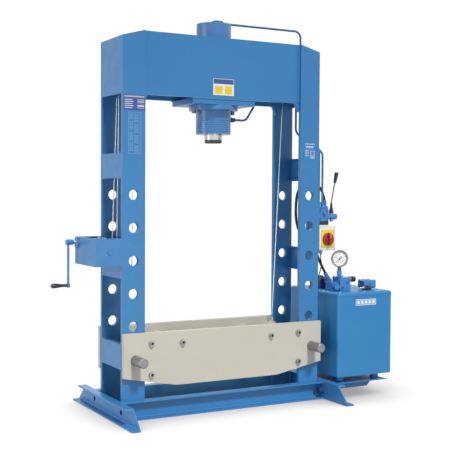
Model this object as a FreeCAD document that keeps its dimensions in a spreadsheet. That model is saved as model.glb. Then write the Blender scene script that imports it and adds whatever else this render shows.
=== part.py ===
import FreeCAD, Part
import math
import os
import re

import Sketcher

# Hydraulic workshop press with a plate frame, a winched bed and a separate power unit.
# +X runs along the press to the power unit, +Y to the back, +Z up.
# Each piece is laid out from the floor below the cylinder's axis, then moved by press_axis_x
# so that the origin is at the bottom centre of the whole.  Sizes are in millimetres.

os.makedirs("parts", exist_ok=True)
Vector = FreeCAD.Vector
doc = FreeCAD.newDocument("hydraulic_press")
sheet = doc.addObject("Spreadsheet::Sheet", "Sizes")

# Driving sizes: each can be changed by itself.
SIZES = {
    # frame
    "frame_width": 1400,
    "frame_depth": 356,
    "plate": 25,
    "post_width": 147,
    "post_foot": 6,
    "peak_height": 2334,
    "roof_slope": 40,
    "head_height": 382,
    "pin_hole_radius": 31,
    "pin_hole_edge": 73,
    "pin_hole_first": 358,
    "pin_hole_pitch": 198,
    "pin_hole_count": 6,
    "end_plate": 12,
    "gusset_width": 27,
    "gusset_height": 56,
    "load_plate_length": 440,
    "load_plate_thick": 35,
    "cross_height": 152,
    "cross_depth": 35,
    "cross_web": 8,
    "cross_low": 374,
    "cross_middle": 922,
    "cross_top": 1523,
    # feet and base beams
    "foot_gap": 17,
    "foot_height": 115,
    "foot_depth": 53,
    "foot_length": 992,
    "foot_bevel": 104,
    "channel_web": 8,
    "channel_flange": 9,
    "foot_hole_radius": 16,
    "foot_hole_spacing": 440,
    "beam_depth": 57,
    "beam_bolt_inset": 24,
    "beam_bolt_height": 40,
    # cylinder
    "barrel_radius": 112.5,
    "bore_radius": 95,
    "barrel_below": 149,
    "barrel_over": 104,
    "barrel_gap": 0.5,
    "groove_depth": 2,
    "groove_width": 3,
    "groove_pitch": 14,
    "groove_count": 6,
    "flange_radius": 157.5,
    "flange_thick": 31,
    "flange_bolt_circle": 140,
    "flange_bolt_count": 2,
    "cap_thick": 45,
    "gland_height": 60,
    "ram_radius": 56.5,
    "ram_proud": 56,
    "tip_height": 20,
    "piston_height": 80,
    "piston_fit": 0.05,
    "rod_fit": 0.05,
    "port_radius": 6,
    "lower_port_rise": 100,
    # bed
    "bed_plate": 30,
    "bed_gap": 3,
    "bed_over": 3,
    "bed_above_pin": 161,
    "bed_end_below_pin": 105,
    "bed_below_pin": 170,
    "bed_flat": 720,
    "pin_radius": 30,
    "pin_proud": 126,
    "pin_tail": 20,
    "pin_chamfer": 5,
    "tie_end_inset": 175,
    "tie_end_rise": 96,
    "tie_low_drop": 94,
    "tie_mid_x": 317,
    "tie_mid_rise": 89,
    "spacer_radius": 25,
    # winch
    "winch_length": 168,
    "winch_height": 167,
    "winch_bottom": 922,
    "sheet_metal": 5,
    "crank_y": 140,
    "crank_rise": 134,
    "drum_rise": 96,
    "gear_module": 3,
    "pinion_teeth": 18,
    "gear_teeth": 42,
    "gear_width": 16,
    "gear_backlash": 0.35,
    "gear_outside": 32,
    "axle_radius": 10,
    "shaft_fit": 0.05,
    "crank_radius": 10,
    "crank_drop": 265,
    "crank_standoff": 58,
    "grip_length": 98,
    "rope_radius": 3,
    "drum_inset": 37,
    "drum_core": 38,
    "drum_flange": 54,
    "drum_flange_thick": 4,
    "drum_zone": 27,
    "rope_pitch": 6.6,
    "rope_turns": 2,
    "sheave_radius": 45,
    "sheave_rim": 56,
    "sheave_width": 12,
    "sheave_rise": 228,
    "left_sheave_inset": 140,
    "right_sheave_inset": 141,
    "front_rope_y": 98,
    "rear_rope_y": 120,
    "rope_clearance": 0.3,
    # power unit
    "tank_gap": 83,
    "tank_length": 445,
    "tank_half_depth": 300,
    "tank_bottom": 146,
    "tank_top": 680,
    "tank_wall": 4,
    "tank_corner": 22,
    "cover_thick": 26,
    "cover_lip": 2,
    "cover_round": 18,
    "arm_y": 200,
    "arm_height": 46,
    "arm_width": 50,
    "arm_bottom": 54,
    "arm_reach": 1121,
    "tray_thick": 5,
    "tray_inset": 36,
    "pipe_radius": 7,
    "pipe_drop": 217,
    "hose_radius": 9,
    "gauge_radius": 59,
    "gauge_rim": 11,
    "gauge_inset": 120,
    "gauge_y": -135,
    "gauge_rise": 216,
    "gauge_turn": 20,
    "lever_reach": 149,
    "lever_y": -110,
    "lever_z": 1222,
}

# Sizes worked out from the driving ones.
DERIVED = {
    "half_width": "frame_width / 2",
    "half_depth": "frame_depth / 2",
    "inner_depth": "frame_depth / 2 - plate",
    "post_inner": "frame_width / 2 - post_width",
    "pin_x": "frame_width / 2 - pin_hole_edge",
    "head_end": "frame_width / 2 - end_plate",
    "eave_height": "peak_height - roof_slope",
    "head_bottom": "peak_height - head_height",
    "foot_web_x": "frame_width / 2 + foot_gap",
    "flange_top": "head_bottom - load_plate_thick",
    "flange_bottom": "flange_top - flange_thick",
    "barrel_bottom": "flange_bottom - barrel_below",
    "barrel_top": "peak_height + barrel_over",
    "lower_port_z": "barrel_bottom + lower_port_rise",
    "bed_length": "frame_width + 2 * bed_over",
    "bed_top": "pin_hole_first + bed_above_pin",
    "bed_end_bottom": "pin_hole_first - bed_end_below_pin",
    "bed_bottom": "pin_hole_first - bed_below_pin",
    "tie_end_x": "frame_width / 2 - tie_end_inset",
    "tie_end_z": "pin_hole_first + tie_end_rise",
    "tie_low_z": "pin_hole_first - tie_low_drop",
    "tie_mid_z": "pin_hole_first + tie_mid_rise",
    "bed_back": "frame_depth / 2 + bed_gap",
    "bed_front": "frame_depth / 2 + bed_gap + bed_plate",
    "pin_front": "frame_depth / 2 + bed_gap + bed_plate + pin_proud",
    "winch_left": "frame_width / 2 + winch_length",
    "winch_top": "winch_bottom + winch_height",
    "crank_z": "winch_bottom + crank_rise",
    "drum_z": "winch_bottom + drum_rise",
    "gear_x": "-frame_width / 2 - gear_outside",
    "drum_left": "drum_inset - frame_width / 2",
    "crank_arm_x": "-winch_left - crank_standoff",
    "gear_pitch_radius": "gear_module * gear_teeth / 2",
    "gear_centres": "gear_module * (pinion_teeth + gear_teeth) / 2",
    "drum_y": "crank_y - sqrt(pow(gear_centres, 2) - pow(crank_z - drum_z, 2))",
    "winding_radius": "drum_core + rope_radius + rope_clearance",
    "drum_length": "2 * drum_zone + 3 * drum_flange_thick",
    "drum_right": "drum_left + drum_length",
    "sheave_pitch": "sheave_radius + rope_radius",
    "sheave_z": "head_bottom + sheave_rise",
    "left_sheave_x": "left_sheave_inset - frame_width / 2",
    "right_sheave_x": "frame_width / 2 - right_sheave_inset",
    "tank_left": "frame_width / 2 + tank_gap",
    "tank_right": "tank_left + tank_length",
    "cover_top": "tank_top + cover_thick",
    "motor_x": "tank_left + 90",
    "motor_y": "tank_half_depth - 228",
    "gauge_x": "tank_left + gauge_inset",
    "gauge_z": "cover_top + gauge_rise",
    "lever_x": "frame_width / 2 + lever_reach",
    "valve_top": "lever_z + 84",
    "left_reach": "grip_length + 13 - crank_arm_x",
    "right_reach": "tank_right + cover_lip",
    "press_axis_x": "(left_reach - right_reach) / 2",
}

for row, (alias, value) in enumerate(SIZES.items(), start=1):
    sheet.set("A%d" % row, alias)
    sheet.set("B%d" % row, str(value))
    sheet.setAlias("B%d" % row, alias)
for row, (alias, formula) in enumerate(DERIVED.items(), start=len(SIZES) + 1):
    sheet.set("A%d" % row, alias)
    sheet.set("B%d" % row, "=" + formula)
    sheet.setAlias("B%d" % row, alias)
doc.recompute()

probe = doc.addObject("App::FeaturePython", "Probe")
probe.addProperty("App::PropertyFloat", "Value")

NAMES = set(SIZES) | set(DERIVED)
TURN = {
    "x": FreeCAD.Rotation(Vector(0, 1, 0), 90),
    "y": FreeCAD.Rotation(Vector(1, 0, 0), -90),
    "z": FreeCAD.Rotation(),
    "-x": FreeCAD.Rotation(Vector(0, 1, 0), -90),
    "-y": FreeCAD.Rotation(Vector(1, 0, 0), 90),
    "-z": FreeCAD.Rotation(Vector(1, 0, 0), 180),
}
SUBPARTS = []


# --- helpers -----------------------------------------------------------------------------

def bound(formula):
    """The formula with every name pointed at its cell."""
    return re.sub(r"[a-z][a-z0-9_]*", lambda word: cell(word.group(0)), str(formula))


def cell(word):
    return "Sizes." + word if word in NAMES else word


def size(formula):
    """The value of a formula in millimetres."""
    if isinstance(formula, (int, float)):
        return float(formula)
    probe.setExpression("Value", bound(formula))
    probe.recompute()
    return float(probe.Value)


def bind(thing, **formulas):
    for name, formula in formulas.items():
        thing.setExpression(name, bound(formula))


def place(thing, x=0, y=0, z=0, axis="z"):
    thing.Placement = FreeCAD.Placement(Vector(size(x), size(y), size(z)), TURN[axis])
    for name, formula in (("x", x), ("y", y), ("z", z)):
        thing.setExpression(".Placement.Base." + name, bound(formula))
    return thing


def keep(thing, label):
    """Make a finished object a sub-part, moved so that the whole is centred on the origin."""
    thing.Label = label
    path = ".Placement.Base.x"
    held = dict(thing.ExpressionEngine).get(path, "%.6f" % thing.Placement.Base.x)
    thing.setExpression(path, bound("press_axis_x") + " + " + held)
    SUBPARTS.append(thing)
    return thing


def block(length, width, height, x=0, y=0, z=0):
    """A box from its lowest corner."""
    box = doc.addObject("Part::Box", "Block")
    bind(box, Length=length, Width=width, Height=height)
    return place(box, x, y, z)


def rod(radius, length, x=0, y=0, z=0, axis="z"):
    """A cylinder from the centre of its first face."""
    cylinder = doc.addObject("Part::Cylinder", "Rod")
    bind(cylinder, Radius=radius, Height=length)
    return place(cylinder, x, y, z, axis)


def hexagon(radius, length, x=0, y=0, z=0, axis="z"):
    prism = doc.addObject("Part::Prism", "Hexagon")
    prism.Polygon = 6
    bind(prism, Circumradius=radius, Height=length)
    return place(prism, x, y, z, axis)


def cone(first_radius, second_radius, length, x=0, y=0, z=0, axis="z"):
    taper = doc.addObject("Part::Cone", "Taper")
    bind(taper, Radius1=first_radius, Radius2=second_radius, Height=length)
    return place(taper, x, y, z, axis)


def ball(radius, x, y, z):
    sphere = doc.addObject("Part::Sphere", "Ball")
    bind(sphere, Radius=radius)
    return place(sphere, x, y, z)


def fuse(*pieces):
    joined = doc.addObject("Part::MultiFuse", "Joined")
    joined.Shapes = list(pieces)
    return joined


def cut(base, *tools):
    result = doc.addObject("Part::Cut", "Cut")
    result.Base = base
    result.Tool = tools[0] if len(tools) == 1 else fuse(*tools)
    return result


def group(*pieces):
    """Separate solids that share one sub-part."""
    together = doc.addObject("Part::Compound", "Group")
    together.Links = list(pieces)
    return together


def sketch_on(body, plane):
    sketch = body.newObject("Sketcher::SketchObject", "Sketch")
    origin = [item for item in body.Origin.OriginFeatures if item.Role == plane]
    sketch.AttachmentSupport = (origin[0], [""])
    sketch.MapMode = "FlatFace"
    return sketch


def pin_point(sketch, edge, end, x, y):
    """Hold one point of the sketch at two formulas, measured from its origin."""
    for kind, formula in (("DistanceX", x), ("DistanceY", y)):
        number = sketch.addConstraint(Sketcher.Constraint(kind, -1, 1, edge, end, size(formula)))
        sketch.setExpression("Constraints[%d]" % number, bound(formula))


def polygon(sketch, corners):
    points = [Vector(size(x), size(y), 0) for x, y in corners]
    count = len(points)
    first = sketch.GeometryCount
    for index in range(count):
        sketch.addGeometry(Part.LineSegment(points[index], points[(index + 1) % count]), False)
    joints = []
    for index in range(count):
        following = first + (index + 1) % count
        joints.append(Sketcher.Constraint("Coincident", first + index, 2, following, 1))
    sketch.addConstraint(joints)
    for index, (x, y) in enumerate(corners):
        pin_point(sketch, first + index, 1, x, y)


def circle(sketch, radius, x, y):
    centre = Vector(size(x), size(y), 0)
    edge = sketch.addGeometry(Part.Circle(centre, Vector(0, 0, 1), size(radius)), False)
    number = sketch.addConstraint(Sketcher.Constraint("Radius", edge, size(radius)))
    sketch.setExpression("Constraints[%d]" % number, bound(radius))
    pin_point(sketch, edge, 3, x, y)


def extruded(plane, outline, thick, x=0, y=0, z=0, holes=()):
    """A plate: its outline on XZ, YZ or XY, grown towards +Y, +X or +Z."""
    body = doc.addObject("PartDesign::Body", "Body")
    sketch = sketch_on(body, plane + "_Plane")
    polygon(sketch, outline)
    for radius, across, up in holes:
        circle(sketch, radius, across, up)
    pad = body.newObject("PartDesign::Pad", "Pad")
    pad.Profile = sketch
    pad.Reversed = plane == "XZ"
    bind(pad, Length=thick)
    return place(body, x, y, z)


def turned(outline, x=0, y=0, z=0, axis="z"):
    """A turned piece: its half outline (radius, height) spun about its own Z axis."""
    body = doc.addObject("PartDesign::Body", "Body")
    sketch = sketch_on(body, "XZ_Plane")
    polygon(sketch, outline)
    spin = body.newObject("PartDesign::Revolution", "Revolution")
    spin.Profile = sketch
    spin.ReferenceAxis = (sketch, ["V_Axis"])
    spin.Angle = 360
    return place(body, x, y, z, axis)


def tube_outline(inner, outer, low, high):
    return [(inner, low), (outer, low), (outer, high), (inner, high)]


def drilled(body, plane, centres, radius, pattern=None):
    """Holes right through a plate; pattern is (axis, count, spacing along that axis)."""
    doc.recompute()
    before = body.Shape.Volume
    sketch = sketch_on(body, plane + "_Plane")
    for x, y in centres:
        circle(sketch, radius, x, y)
    pocket = body.newObject("PartDesign::Pocket", "Pocket")
    pocket.Profile = sketch
    pocket.Type = "ThroughAll"
    pocket.Reversed = plane != "XZ"
    body.Tip = pocket
    if pattern:
        axis, count, length = pattern
        doc.recompute()
        repeat = body.newObject("PartDesign::LinearPattern", "LinearPattern")
        repeat.Originals = [pocket]
        repeat.Direction = (sketch, [axis])
        bind(repeat, Length=length, Occurrences=count)
        body.Tip = repeat
    doc.recompute()
    if body.Shape.Volume >= before:
        raise ValueError("a pocket cut nothing in " + body.Label)
    return body


def softened(body, radius, test, chamfer=False):
    """Round or bevel the edges of a body that a test picks."""
    doc.recompute()
    tip = body.Tip
    names = ["Edge%d" % (i + 1) for i, edge in enumerate(tip.Shape.Edges) if test(edge)]
    kind = "PartDesign::Chamfer" if chamfer else "PartDesign::Fillet"
    feature = body.newObject(kind, "Edging")
    feature.Base = (tip, names)
    bind(feature, **{"Size" if chamfer else "Radius": radius})
    body.Tip = feature
    return body


def runs_along(edge, axis):
    ends = [vertex.Point for vertex in edge.Vertexes]
    if len(ends) != 2 or edge.Curve.TypeId != "Part::GeomLine":
        return False
    along = (ends[1] - ends[0]).normalize()
    return abs(along.dot(axis)) > 0.999


def solid_of(shape, label):
    """A piece whose shape is worked out point by point from the sizes."""
    feature = doc.addObject("Part::Feature", "Feature")
    feature.Shape = shape
    return keep(feature, label) if label else feature


def arc_middle(start, corner, end):
    """The middle point of the arc that touches start-corner and corner-end."""
    arm = (corner - start).Length
    weight = min(1.0, (end - start).Length / 2 / arm)
    return (start + corner * (2 * weight) + end) * (1 / (2 + 2 * weight))


def rounded_path(points, radii, note=None):
    """Straight runs joined by tangent arcs.  A radius of None is as large as the runs allow."""
    edges = []
    here = points[0]
    told = []
    for index in range(1, len(points) - 1):
        corner = points[index]
        arrive = (corner - points[index - 1])
        leave = (points[index + 1] - corner)
        turn = arrive.getAngle(leave)
        radius = radii[index - 1] if radii else None
        if radius is None:
            radius = 0.45 * min(arrive.Length, leave.Length) / math.tan(turn / 2)
        told.append(round(radius, 1))
        reach = radius * math.tan(turn / 2)
        start = corner - arrive.normalize() * reach
        end = corner + leave.normalize() * reach
        edges.append(Part.LineSegment(here, start).toShape())
        edges.append(Part.Arc(start, arc_middle(start, corner, end), end).toShape())
        here = end
    edges.append(Part.LineSegment(here, points[-1]).toShape())
    path = Part.Wire(edges)
    if note:
        print(note, "length", round(path.Length, 1), "radii", told)
    return path


def spot(x, y, z):
    return Vector(size(x), size(y), size(z))


def spun(outline, base, heading):
    """A turned piece on any axis: (radius, height) corners from a base point."""
    corners = [Vector(radius, 0, height) for radius, height in outline]
    face = Part.Face(Part.makePolygon(corners + [corners[0]]))
    solid = face.revolve(Vector(0, 0, 0), Vector(0, 0, 1), 360)
    solid.Placement = FreeCAD.Placement(base, FreeCAD.Rotation(Vector(0, 0, 1), heading))
    return solid


def swept(path, radius):
    """A round bar along a path."""
    start = path.Edges[0].valueAt(path.Edges[0].FirstParameter)
    heading = path.Edges[0].tangentAt(path.Edges[0].FirstParameter)
    ring = Part.Wire([Part.Circle(start, heading, radius).toShape()])
    solid = path.makePipeShell([ring], True, False)
    expected = math.pi * radius ** 2 * path.Length
    if abs(solid.Volume - expected) > 0.01 * expected:
        raise ValueError("a swept bar has lost its volume")
    return solid


def run_of(points, radii, radius, note=None):
    return swept(rounded_path([spot(*point) for point in points], radii, note), radius)


def bolt(x, y, z, axis, head_radius, head, shank_radius, shank):
    """A hexagon bolt: its head grows along the axis from the seat, its shank the other way."""
    opposite = axis[1:] if axis.startswith("-") else "-" + axis
    cap = hexagon(head_radius, head, x, y, z, axis)
    stem = rod(shank_radius, shank, x, y, z, opposite)
    return fuse(cap, stem)


# --- frame -------------------------------------------------------------------------------

def build_uprights():
    """Four posts' plates, with a sloping top and a column of pin holes."""
    for side, sign in (("left", -1), ("right", 1)):
        outline = [
            ("%d * half_width" % sign, "post_foot"),
            ("%d * half_width" % sign, "eave_height"),
            ("%d * post_inner" % sign, "peak_height"),
            ("%d * post_inner" % sign, "post_foot"),
        ]
        for end, y in (("front", "-half_depth"), ("rear", "inner_depth")):
            body = extruded("XZ", outline, "plate", y=y)
            centre = [("%d * pin_x" % sign, "pin_hole_first")]
            span = "pin_hole_pitch * (pin_hole_count - 1)"
            drilled(body, "XZ", centre, "pin_hole_radius", ("V_Axis", "pin_hole_count", span))
            keep(body, "upright_%s_%s" % (end, side))


def build_head():
    """Two deep plates between the uprights, closed at their ends, with corner gussets."""
    outline = [
        ("-head_end", "head_bottom"),
        ("-post_inner - plate", "head_bottom"),
        ("-post_inner", "head_bottom - gusset_height"),
        ("-post_inner + gusset_width", "head_bottom"),
        ("post_inner - gusset_width", "head_bottom"),
        ("post_inner", "head_bottom - gusset_height"),
        ("post_inner + plate", "head_bottom"),
        ("head_end", "head_bottom"),
        ("head_end", "eave_height"),
        ("post_inner", "peak_height"),
        ("-post_inner", "peak_height"),
        ("-head_end", "eave_height"),
    ]
    for end, y in (("front", "-inner_depth"), ("rear", "inner_depth - plate")):
        keep(extruded("XZ", outline, "plate", y=y), "head_%s_plate" % end)
    ends = []
    for x in ("-half_width", "head_end"):
        tall = "eave_height - head_bottom"
        ends.append(block("end_plate", "2 * inner_depth", tall, x, "-inner_depth", "head_bottom"))
    keep(group(*ends), "head_end_plates")


def build_load_plate():
    """The plate that spreads the load of the cylinder over the head."""
    half = "load_plate_length / 2"
    outline = [
        ("-" + half, "-inner_depth"),
        (half, "-inner_depth"),
        (half, "inner_depth"),
        ("-" + half, "inner_depth"),
    ]
    bore = [("barrel_radius + barrel_gap", 0, 0)]
    body = extruded("XY", outline, "load_plate_thick", z="flange_top", holes=bore)
    softened(body, 3, lambda edge: runs_along(edge, Vector(0, 0, 1)))
    keep(body, "load_plate")


def channel(plane, web, flange, deep, tall, long_way, x, y, z, sign):
    """A channel: web on its back, flanges towards the sign."""
    outline = [
        (0, 0),
        ("%d * (%s)" % (sign, deep), 0),
        ("%d * (%s)" % (sign, deep), flange),
        ("%d * (%s)" % (sign, web), flange),
        ("%d * (%s)" % (sign, web), "%s - %s" % (tall, flange)),
        ("%d * (%s)" % (sign, deep), "%s - %s" % (tall, flange)),
        ("%d * (%s)" % (sign, deep), tall),
        (0, tall),
    ]
    body = extruded(plane, outline, long_way, x, y, z)

    def inside(edge):
        spot = edge.CenterOfMass
        across = spot.x if plane == "XZ" else spot.y
        level = size(flange)
        near = abs(abs(across) - size(web)) < 0.01
        heights = (level, size(tall) - level)
        return near and any(abs(spot.z - height) < 0.01 for height in heights)

    return softened(body, 5, inside)


def build_cross_channels():
    """Three bent plates tie the two uprights of each post together."""
    pieces = []
    for side in (-1, 1):
        for level in ("cross_low", "cross_middle", "cross_top"):
            bottom = "%s - cross_height / 2" % level
            x = "%d * half_width" % side
            pieces.append(channel("XZ", "cross_web", "cross_web", "cross_depth", "cross_height",
                                  "2 * inner_depth", x, "-inner_depth", bottom, -side))
    keep(group(*pieces), "cross_channels")


def build_feet():
    """Two foot channels along Y, open outwards, with bevelled ends and two holes."""
    for side, sign in (("left", -1), ("right", 1)):
        body = channel("XZ", "channel_web", "channel_flange", "foot_depth", "foot_height",
                       "foot_length", "%d * foot_web_x" % sign, "-foot_length / 2", 0, sign)
        doc.recompute()
        before = body.Shape.Volume
        bevel = sketch_on(body, "YZ_Plane")
        polygon(bevel, [("foot_bevel", "foot_height + 1"), (-1, "foot_height + 1"),
                        (-1, "foot_height - foot_bevel")])
        polygon(bevel, [("foot_length - foot_bevel", "foot_height + 1"),
                        ("foot_length + 1", "foot_height + 1"),
                        ("foot_length + 1", "foot_height - foot_bevel")])
        trim = body.newObject("PartDesign::Pocket", "Bevels")
        trim.Profile = bevel
        trim.Type = "ThroughAll"
        trim.Reversed = sign > 0
        body.Tip = trim
        doc.recompute()
        if body.Shape.Volume >= before:
            raise ValueError("the bevels cut nothing")
        middle = "foot_length / 2"
        spots = [("%s + %d * foot_hole_spacing / 2" % (middle, way), "foot_height / 2")
                 for way in (-1, 1)]
        holes = sketch_on(body, "YZ_Plane")
        for across, up in spots:
            circle(holes, "foot_hole_radius", across, up)
        bores = body.newObject("PartDesign::Pocket", "Holes")
        bores.Profile = holes
        bores.Type = "ThroughAll"
        bores.Reversed = sign > 0
        body.Tip = bores
        keep(body, "%s_foot" % side)


def build_base_beams():
    """A channel in front and one behind, between the feet, open away from the posts."""
    beams, bolts = [], []
    for sign, axis in ((-1, "-y"), (1, "y")):
        x, y = "-foot_web_x", "%d * half_depth" % sign
        beam = channel("YZ", "channel_web", "channel_flange", "beam_depth", "foot_height",
                       "2 * foot_web_x", x, y, 0, sign)
        holes = []
        for side in (-1, 1):
            x = "%d * (half_width - beam_bolt_inset)" % side
            holes.append(rod(8, "channel_web", x, y, "beam_bolt_height", axis))
            seat = "%d * (half_depth + channel_web)" % sign
            bolts.append(bolt(x, seat, "beam_bolt_height", axis, 14, 10, 8, "channel_web"))
        beams.append(cut(beam, *holes))
    keep(group(*beams), "base_beams")
    return bolts


# --- cylinder ----------------------------------------------------------------------------

def build_barrel():
    """The barrel, threaded below its flange, with a side port for the return stroke."""
    outline = tube_outline("bore_radius", "barrel_radius", "barrel_bottom", "barrel_top")
    body = turned(outline)
    doc.recompute()
    before = body.Shape.Volume
    ring = sketch_on(body, "XZ_Plane")
    low = "barrel_bottom + groove_pitch"
    polygon(ring, [
        ("barrel_radius + 1", low),
        ("barrel_radius + 1", low + " + groove_width"),
        ("barrel_radius - groove_depth", low + " + groove_width / 2"),
    ])
    groove = body.newObject("PartDesign::Groove", "Groove")
    groove.Profile = ring
    groove.ReferenceAxis = (ring, ["V_Axis"])
    groove.Angle = 360
    body.Tip = groove
    doc.recompute()
    rings = body.newObject("PartDesign::LinearPattern", "Grooves")
    rings.Originals = [groove]
    rings.Direction = (ring, ["V_Axis"])
    bind(rings, Length="groove_pitch * (groove_count - 1)", Occurrences="groove_count")
    body.Tip = rings
    doc.recompute()
    if body.Shape.Volume >= before:
        raise ValueError("the grooves cut nothing")
    port = rod("port_radius", "barrel_radius", 0, 0, "lower_port_z", "x")
    keep(cut(body, port), "cylinder_barrel")


def build_flange():
    """The flange ring that hangs the barrel under the load plate."""
    inner = "barrel_radius"
    outline = tube_outline(inner, "flange_radius", "flange_bottom", "flange_top")
    body = turned(outline)
    softened(body, 3, lambda edge: is_ring(edge, "flange_radius", "flange_bottom"), True)
    keep(body, "cylinder_flange")
    bolts = []
    for index in range(SIZES["flange_bolt_count"]):
        angle = 2 * math.pi * index / SIZES["flange_bolt_count"]
        x = "flange_bolt_circle * %.6f" % math.cos(angle)
        y = "flange_bolt_circle * %.6f" % math.sin(angle)
        cap = rod(14, 18, x, y, "flange_bottom", "-z")
        socket = hexagon(8, 10, x, y, "flange_bottom - 18")
        bolts.append(cut(cap, socket))
    return bolts


def is_ring(edge, radius, height):
    """Whether an edge is a full circle of this radius at this height."""
    if edge.Curve.TypeId != "Part::GeomCircle":
        return False
    same = abs(edge.Curve.Radius - size(radius)) < 0.01
    return same and abs(edge.Curve.Center.z - size(height)) < 0.01


def build_cap():
    """The cap in the barrel's top, with the elbow block that feeds the pressing stroke."""
    low = "barrel_top - cap_thick"
    disc = turned([(0, low), ("bore_radius", low), ("bore_radius", "barrel_top - 4"),
                   ("bore_radius - 4", "barrel_top"), (0, "barrel_top")])
    keep(cut(disc, rod("port_radius", "cap_thick", 26, 0, low)), "cylinder_cap")
    elbow = block(56, 44, 27, -2, -22, "barrel_top")
    way_up = rod("port_radius", 14, 26, 0, "barrel_top")
    way_out = rod("port_radius", 40, 26, 0, "barrel_top + 13", "x")
    nut = cut(hexagon(12.5, 16, 54, 0, "barrel_top + 13", "x"),
              rod("pipe_radius", 16, 54, 0, "barrel_top + 13", "x"))
    seat = "barrel_radius - 3"
    union = cut(hexagon(16, 32, seat, 0, "lower_port_z", "x"),
                rod("port_radius", 32, seat, 0, "lower_port_z", "x"),
                rod("barrel_radius + barrel_gap", 60, 0, 0, "lower_port_z - 30"))
    lower_nut = cut(hexagon(13, 16, seat + " + 32", 0, "lower_port_z", "x"),
                    rod("pipe_radius", 16, seat + " + 32", 0, "lower_port_z", "x"))
    return [cut(elbow, way_up, way_out), nut, union, lower_nut]


def build_gland():
    """The bush in the barrel's mouth that guides the ram, with its wiper groove."""
    low, high = "barrel_bottom", "barrel_bottom + gland_height"
    inner = "ram_radius + rod_fit"
    outline = [
        (inner, low),
        ("bore_radius", low),
        ("bore_radius", high),
        (inner, high),
        (inner, low + " + 14"),
        (inner + " + 5", low + " + 14"),
        (inner + " + 5", low + " + 6"),
        (inner, low + " + 6"),
    ]
    keep(turned(outline), "rod_gland")


def build_ram():
    """The ram with its piston at the top and its hardened tip at the bottom."""
    tip_low = "barrel_bottom - ram_proud"
    tip_high = tip_low + " + tip_height"
    piston_low = "barrel_top - cap_thick - 2 - piston_height"
    outline = [
        (0, tip_high),
        ("ram_radius", tip_high),
        ("ram_radius", piston_low),
        (0, piston_low),
    ]
    keep(turned(outline), "ram")
    rim = "bore_radius - piston_fit"
    high = piston_low + " + piston_height"
    ring_low = piston_low + " + piston_height / 2 - 6"
    piston = [
        (0, piston_low),
        (rim + " - 3", piston_low),
        (rim, piston_low + " + 3"),
        (rim, ring_low),
        (rim + " - 6", ring_low),
        (rim + " - 6", ring_low + " + 12"),
        (rim, ring_low + " + 12"),
        (rim, high + " - 3"),
        (rim + " - 3", high),
        (0, high),
    ]
    keep(turned(piston), "piston")
    tip = [
        (0, tip_low),
        ("ram_radius - 6", tip_low),
        ("ram_radius - 1", tip_low + " + 5"),
        ("ram_radius - 1", tip_high),
        (0, tip_high),
    ]
    keep(turned(tip), "ram_tip")


def build_pipes():
    """Two rigid steel pipes from the cylinder, through the right post, to the valve."""
    top, high, low = "barrel_top + 13", "head_bottom - pipe_drop", "head_bottom - pipe_drop - 90"
    across, port = "half_width - 38", "lever_x - 74"
    upper = [(54, 0, top), (across, 0, top), (across, 0, high), (port, "lever_y", low),
             (port, "lever_y", "valve_top")]
    start, level = "barrel_radius + 29", "lower_port_z"
    inner, head, across, port = "half_width - 400", "head_bottom + 78", "half_width - 70", \
        "lever_x - 101"
    lower = [(start, 0, level), ("half_width - 460", 0, level), (inner, 0, "head_bottom - 22"),
             (inner, 0, head), (across, 0, head), (across, 0, high + " + 30"),
             (port, "lever_y", low + " + 30"), (port, "lever_y", "valve_top")]
    bars = [tube_feature(upper, [45, 60, 60]), tube_feature(lower, [45, 45, 45, 45, 60, 60])]
    keep(group(*bars), "steel_pipes")


def tube_feature(points, radii):
    return solid_of(run_of(points, radii, size("pipe_radius")), None)


# --- bed ---------------------------------------------------------------------------------

def build_bed():
    """Two boat-shaped plates that hang on the pins, tied through spacer tubes."""
    half, flat = "bed_length / 2", "bed_flat / 2"
    outline = [
        ("-" + half, "bed_end_bottom"),
        ("-" + flat, "bed_bottom"),
        (flat, "bed_bottom"),
        (half, "bed_end_bottom"),
        (half, "bed_top"),
        ("-" + half, "bed_top"),
    ]
    holes = [("pin_hole_radius", "%d * pin_x" % sign, "pin_hole_first") for sign in (-1, 1)]
    for end, y in (("front", "-bed_front"), ("rear", "bed_back")):
        body = extruded("XZ", outline, "bed_plate", y=y, holes=holes)
        softened(body, 2, lambda edge: not is_curved(edge) and at_top(edge), True)
        keep(body, "bed_%s_plate" % end)
    spots = []
    for sign in (-1, 1):
        spots.append(("%d * tie_end_x" % sign, "tie_end_z"))
        spots.append(("%d * tie_end_x" % sign, "tie_low_z"))
        spots.append(("%d * tie_mid_x" % sign, "tie_mid_z"))
    tubes, bolts = [], []
    for x, z in spots:
        tube = rod("spacer_radius", "2 * bed_back", x, "-bed_back", z, "y")
        tubes.append(cut(tube, rod(12.5, "2 * bed_back", x, "-bed_back", z, "y")))
        stem = rod(12, "2 * bed_back", x, "-bed_back", z, "y")
        head = rod(19, 14, x, "-bed_front", z, "-y")
        socket = hexagon(10, 9, x, "-bed_front - 14", z, "y")
        nut = hexagon(20, 18, x, "bed_front", z, "y")
        bolts.append(group(stem, cut(head, socket), nut))
    keep(group(*tubes, *rope_eyes()), "bed_spacers")
    keep(group(*bolts), "bed_bolts")


def is_curved(edge):
    return edge.Curve.TypeId != "Part::GeomLine"


def at_top(edge):
    return abs(edge.CenterOfMass.z - size("bed_top")) < 0.01


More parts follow.
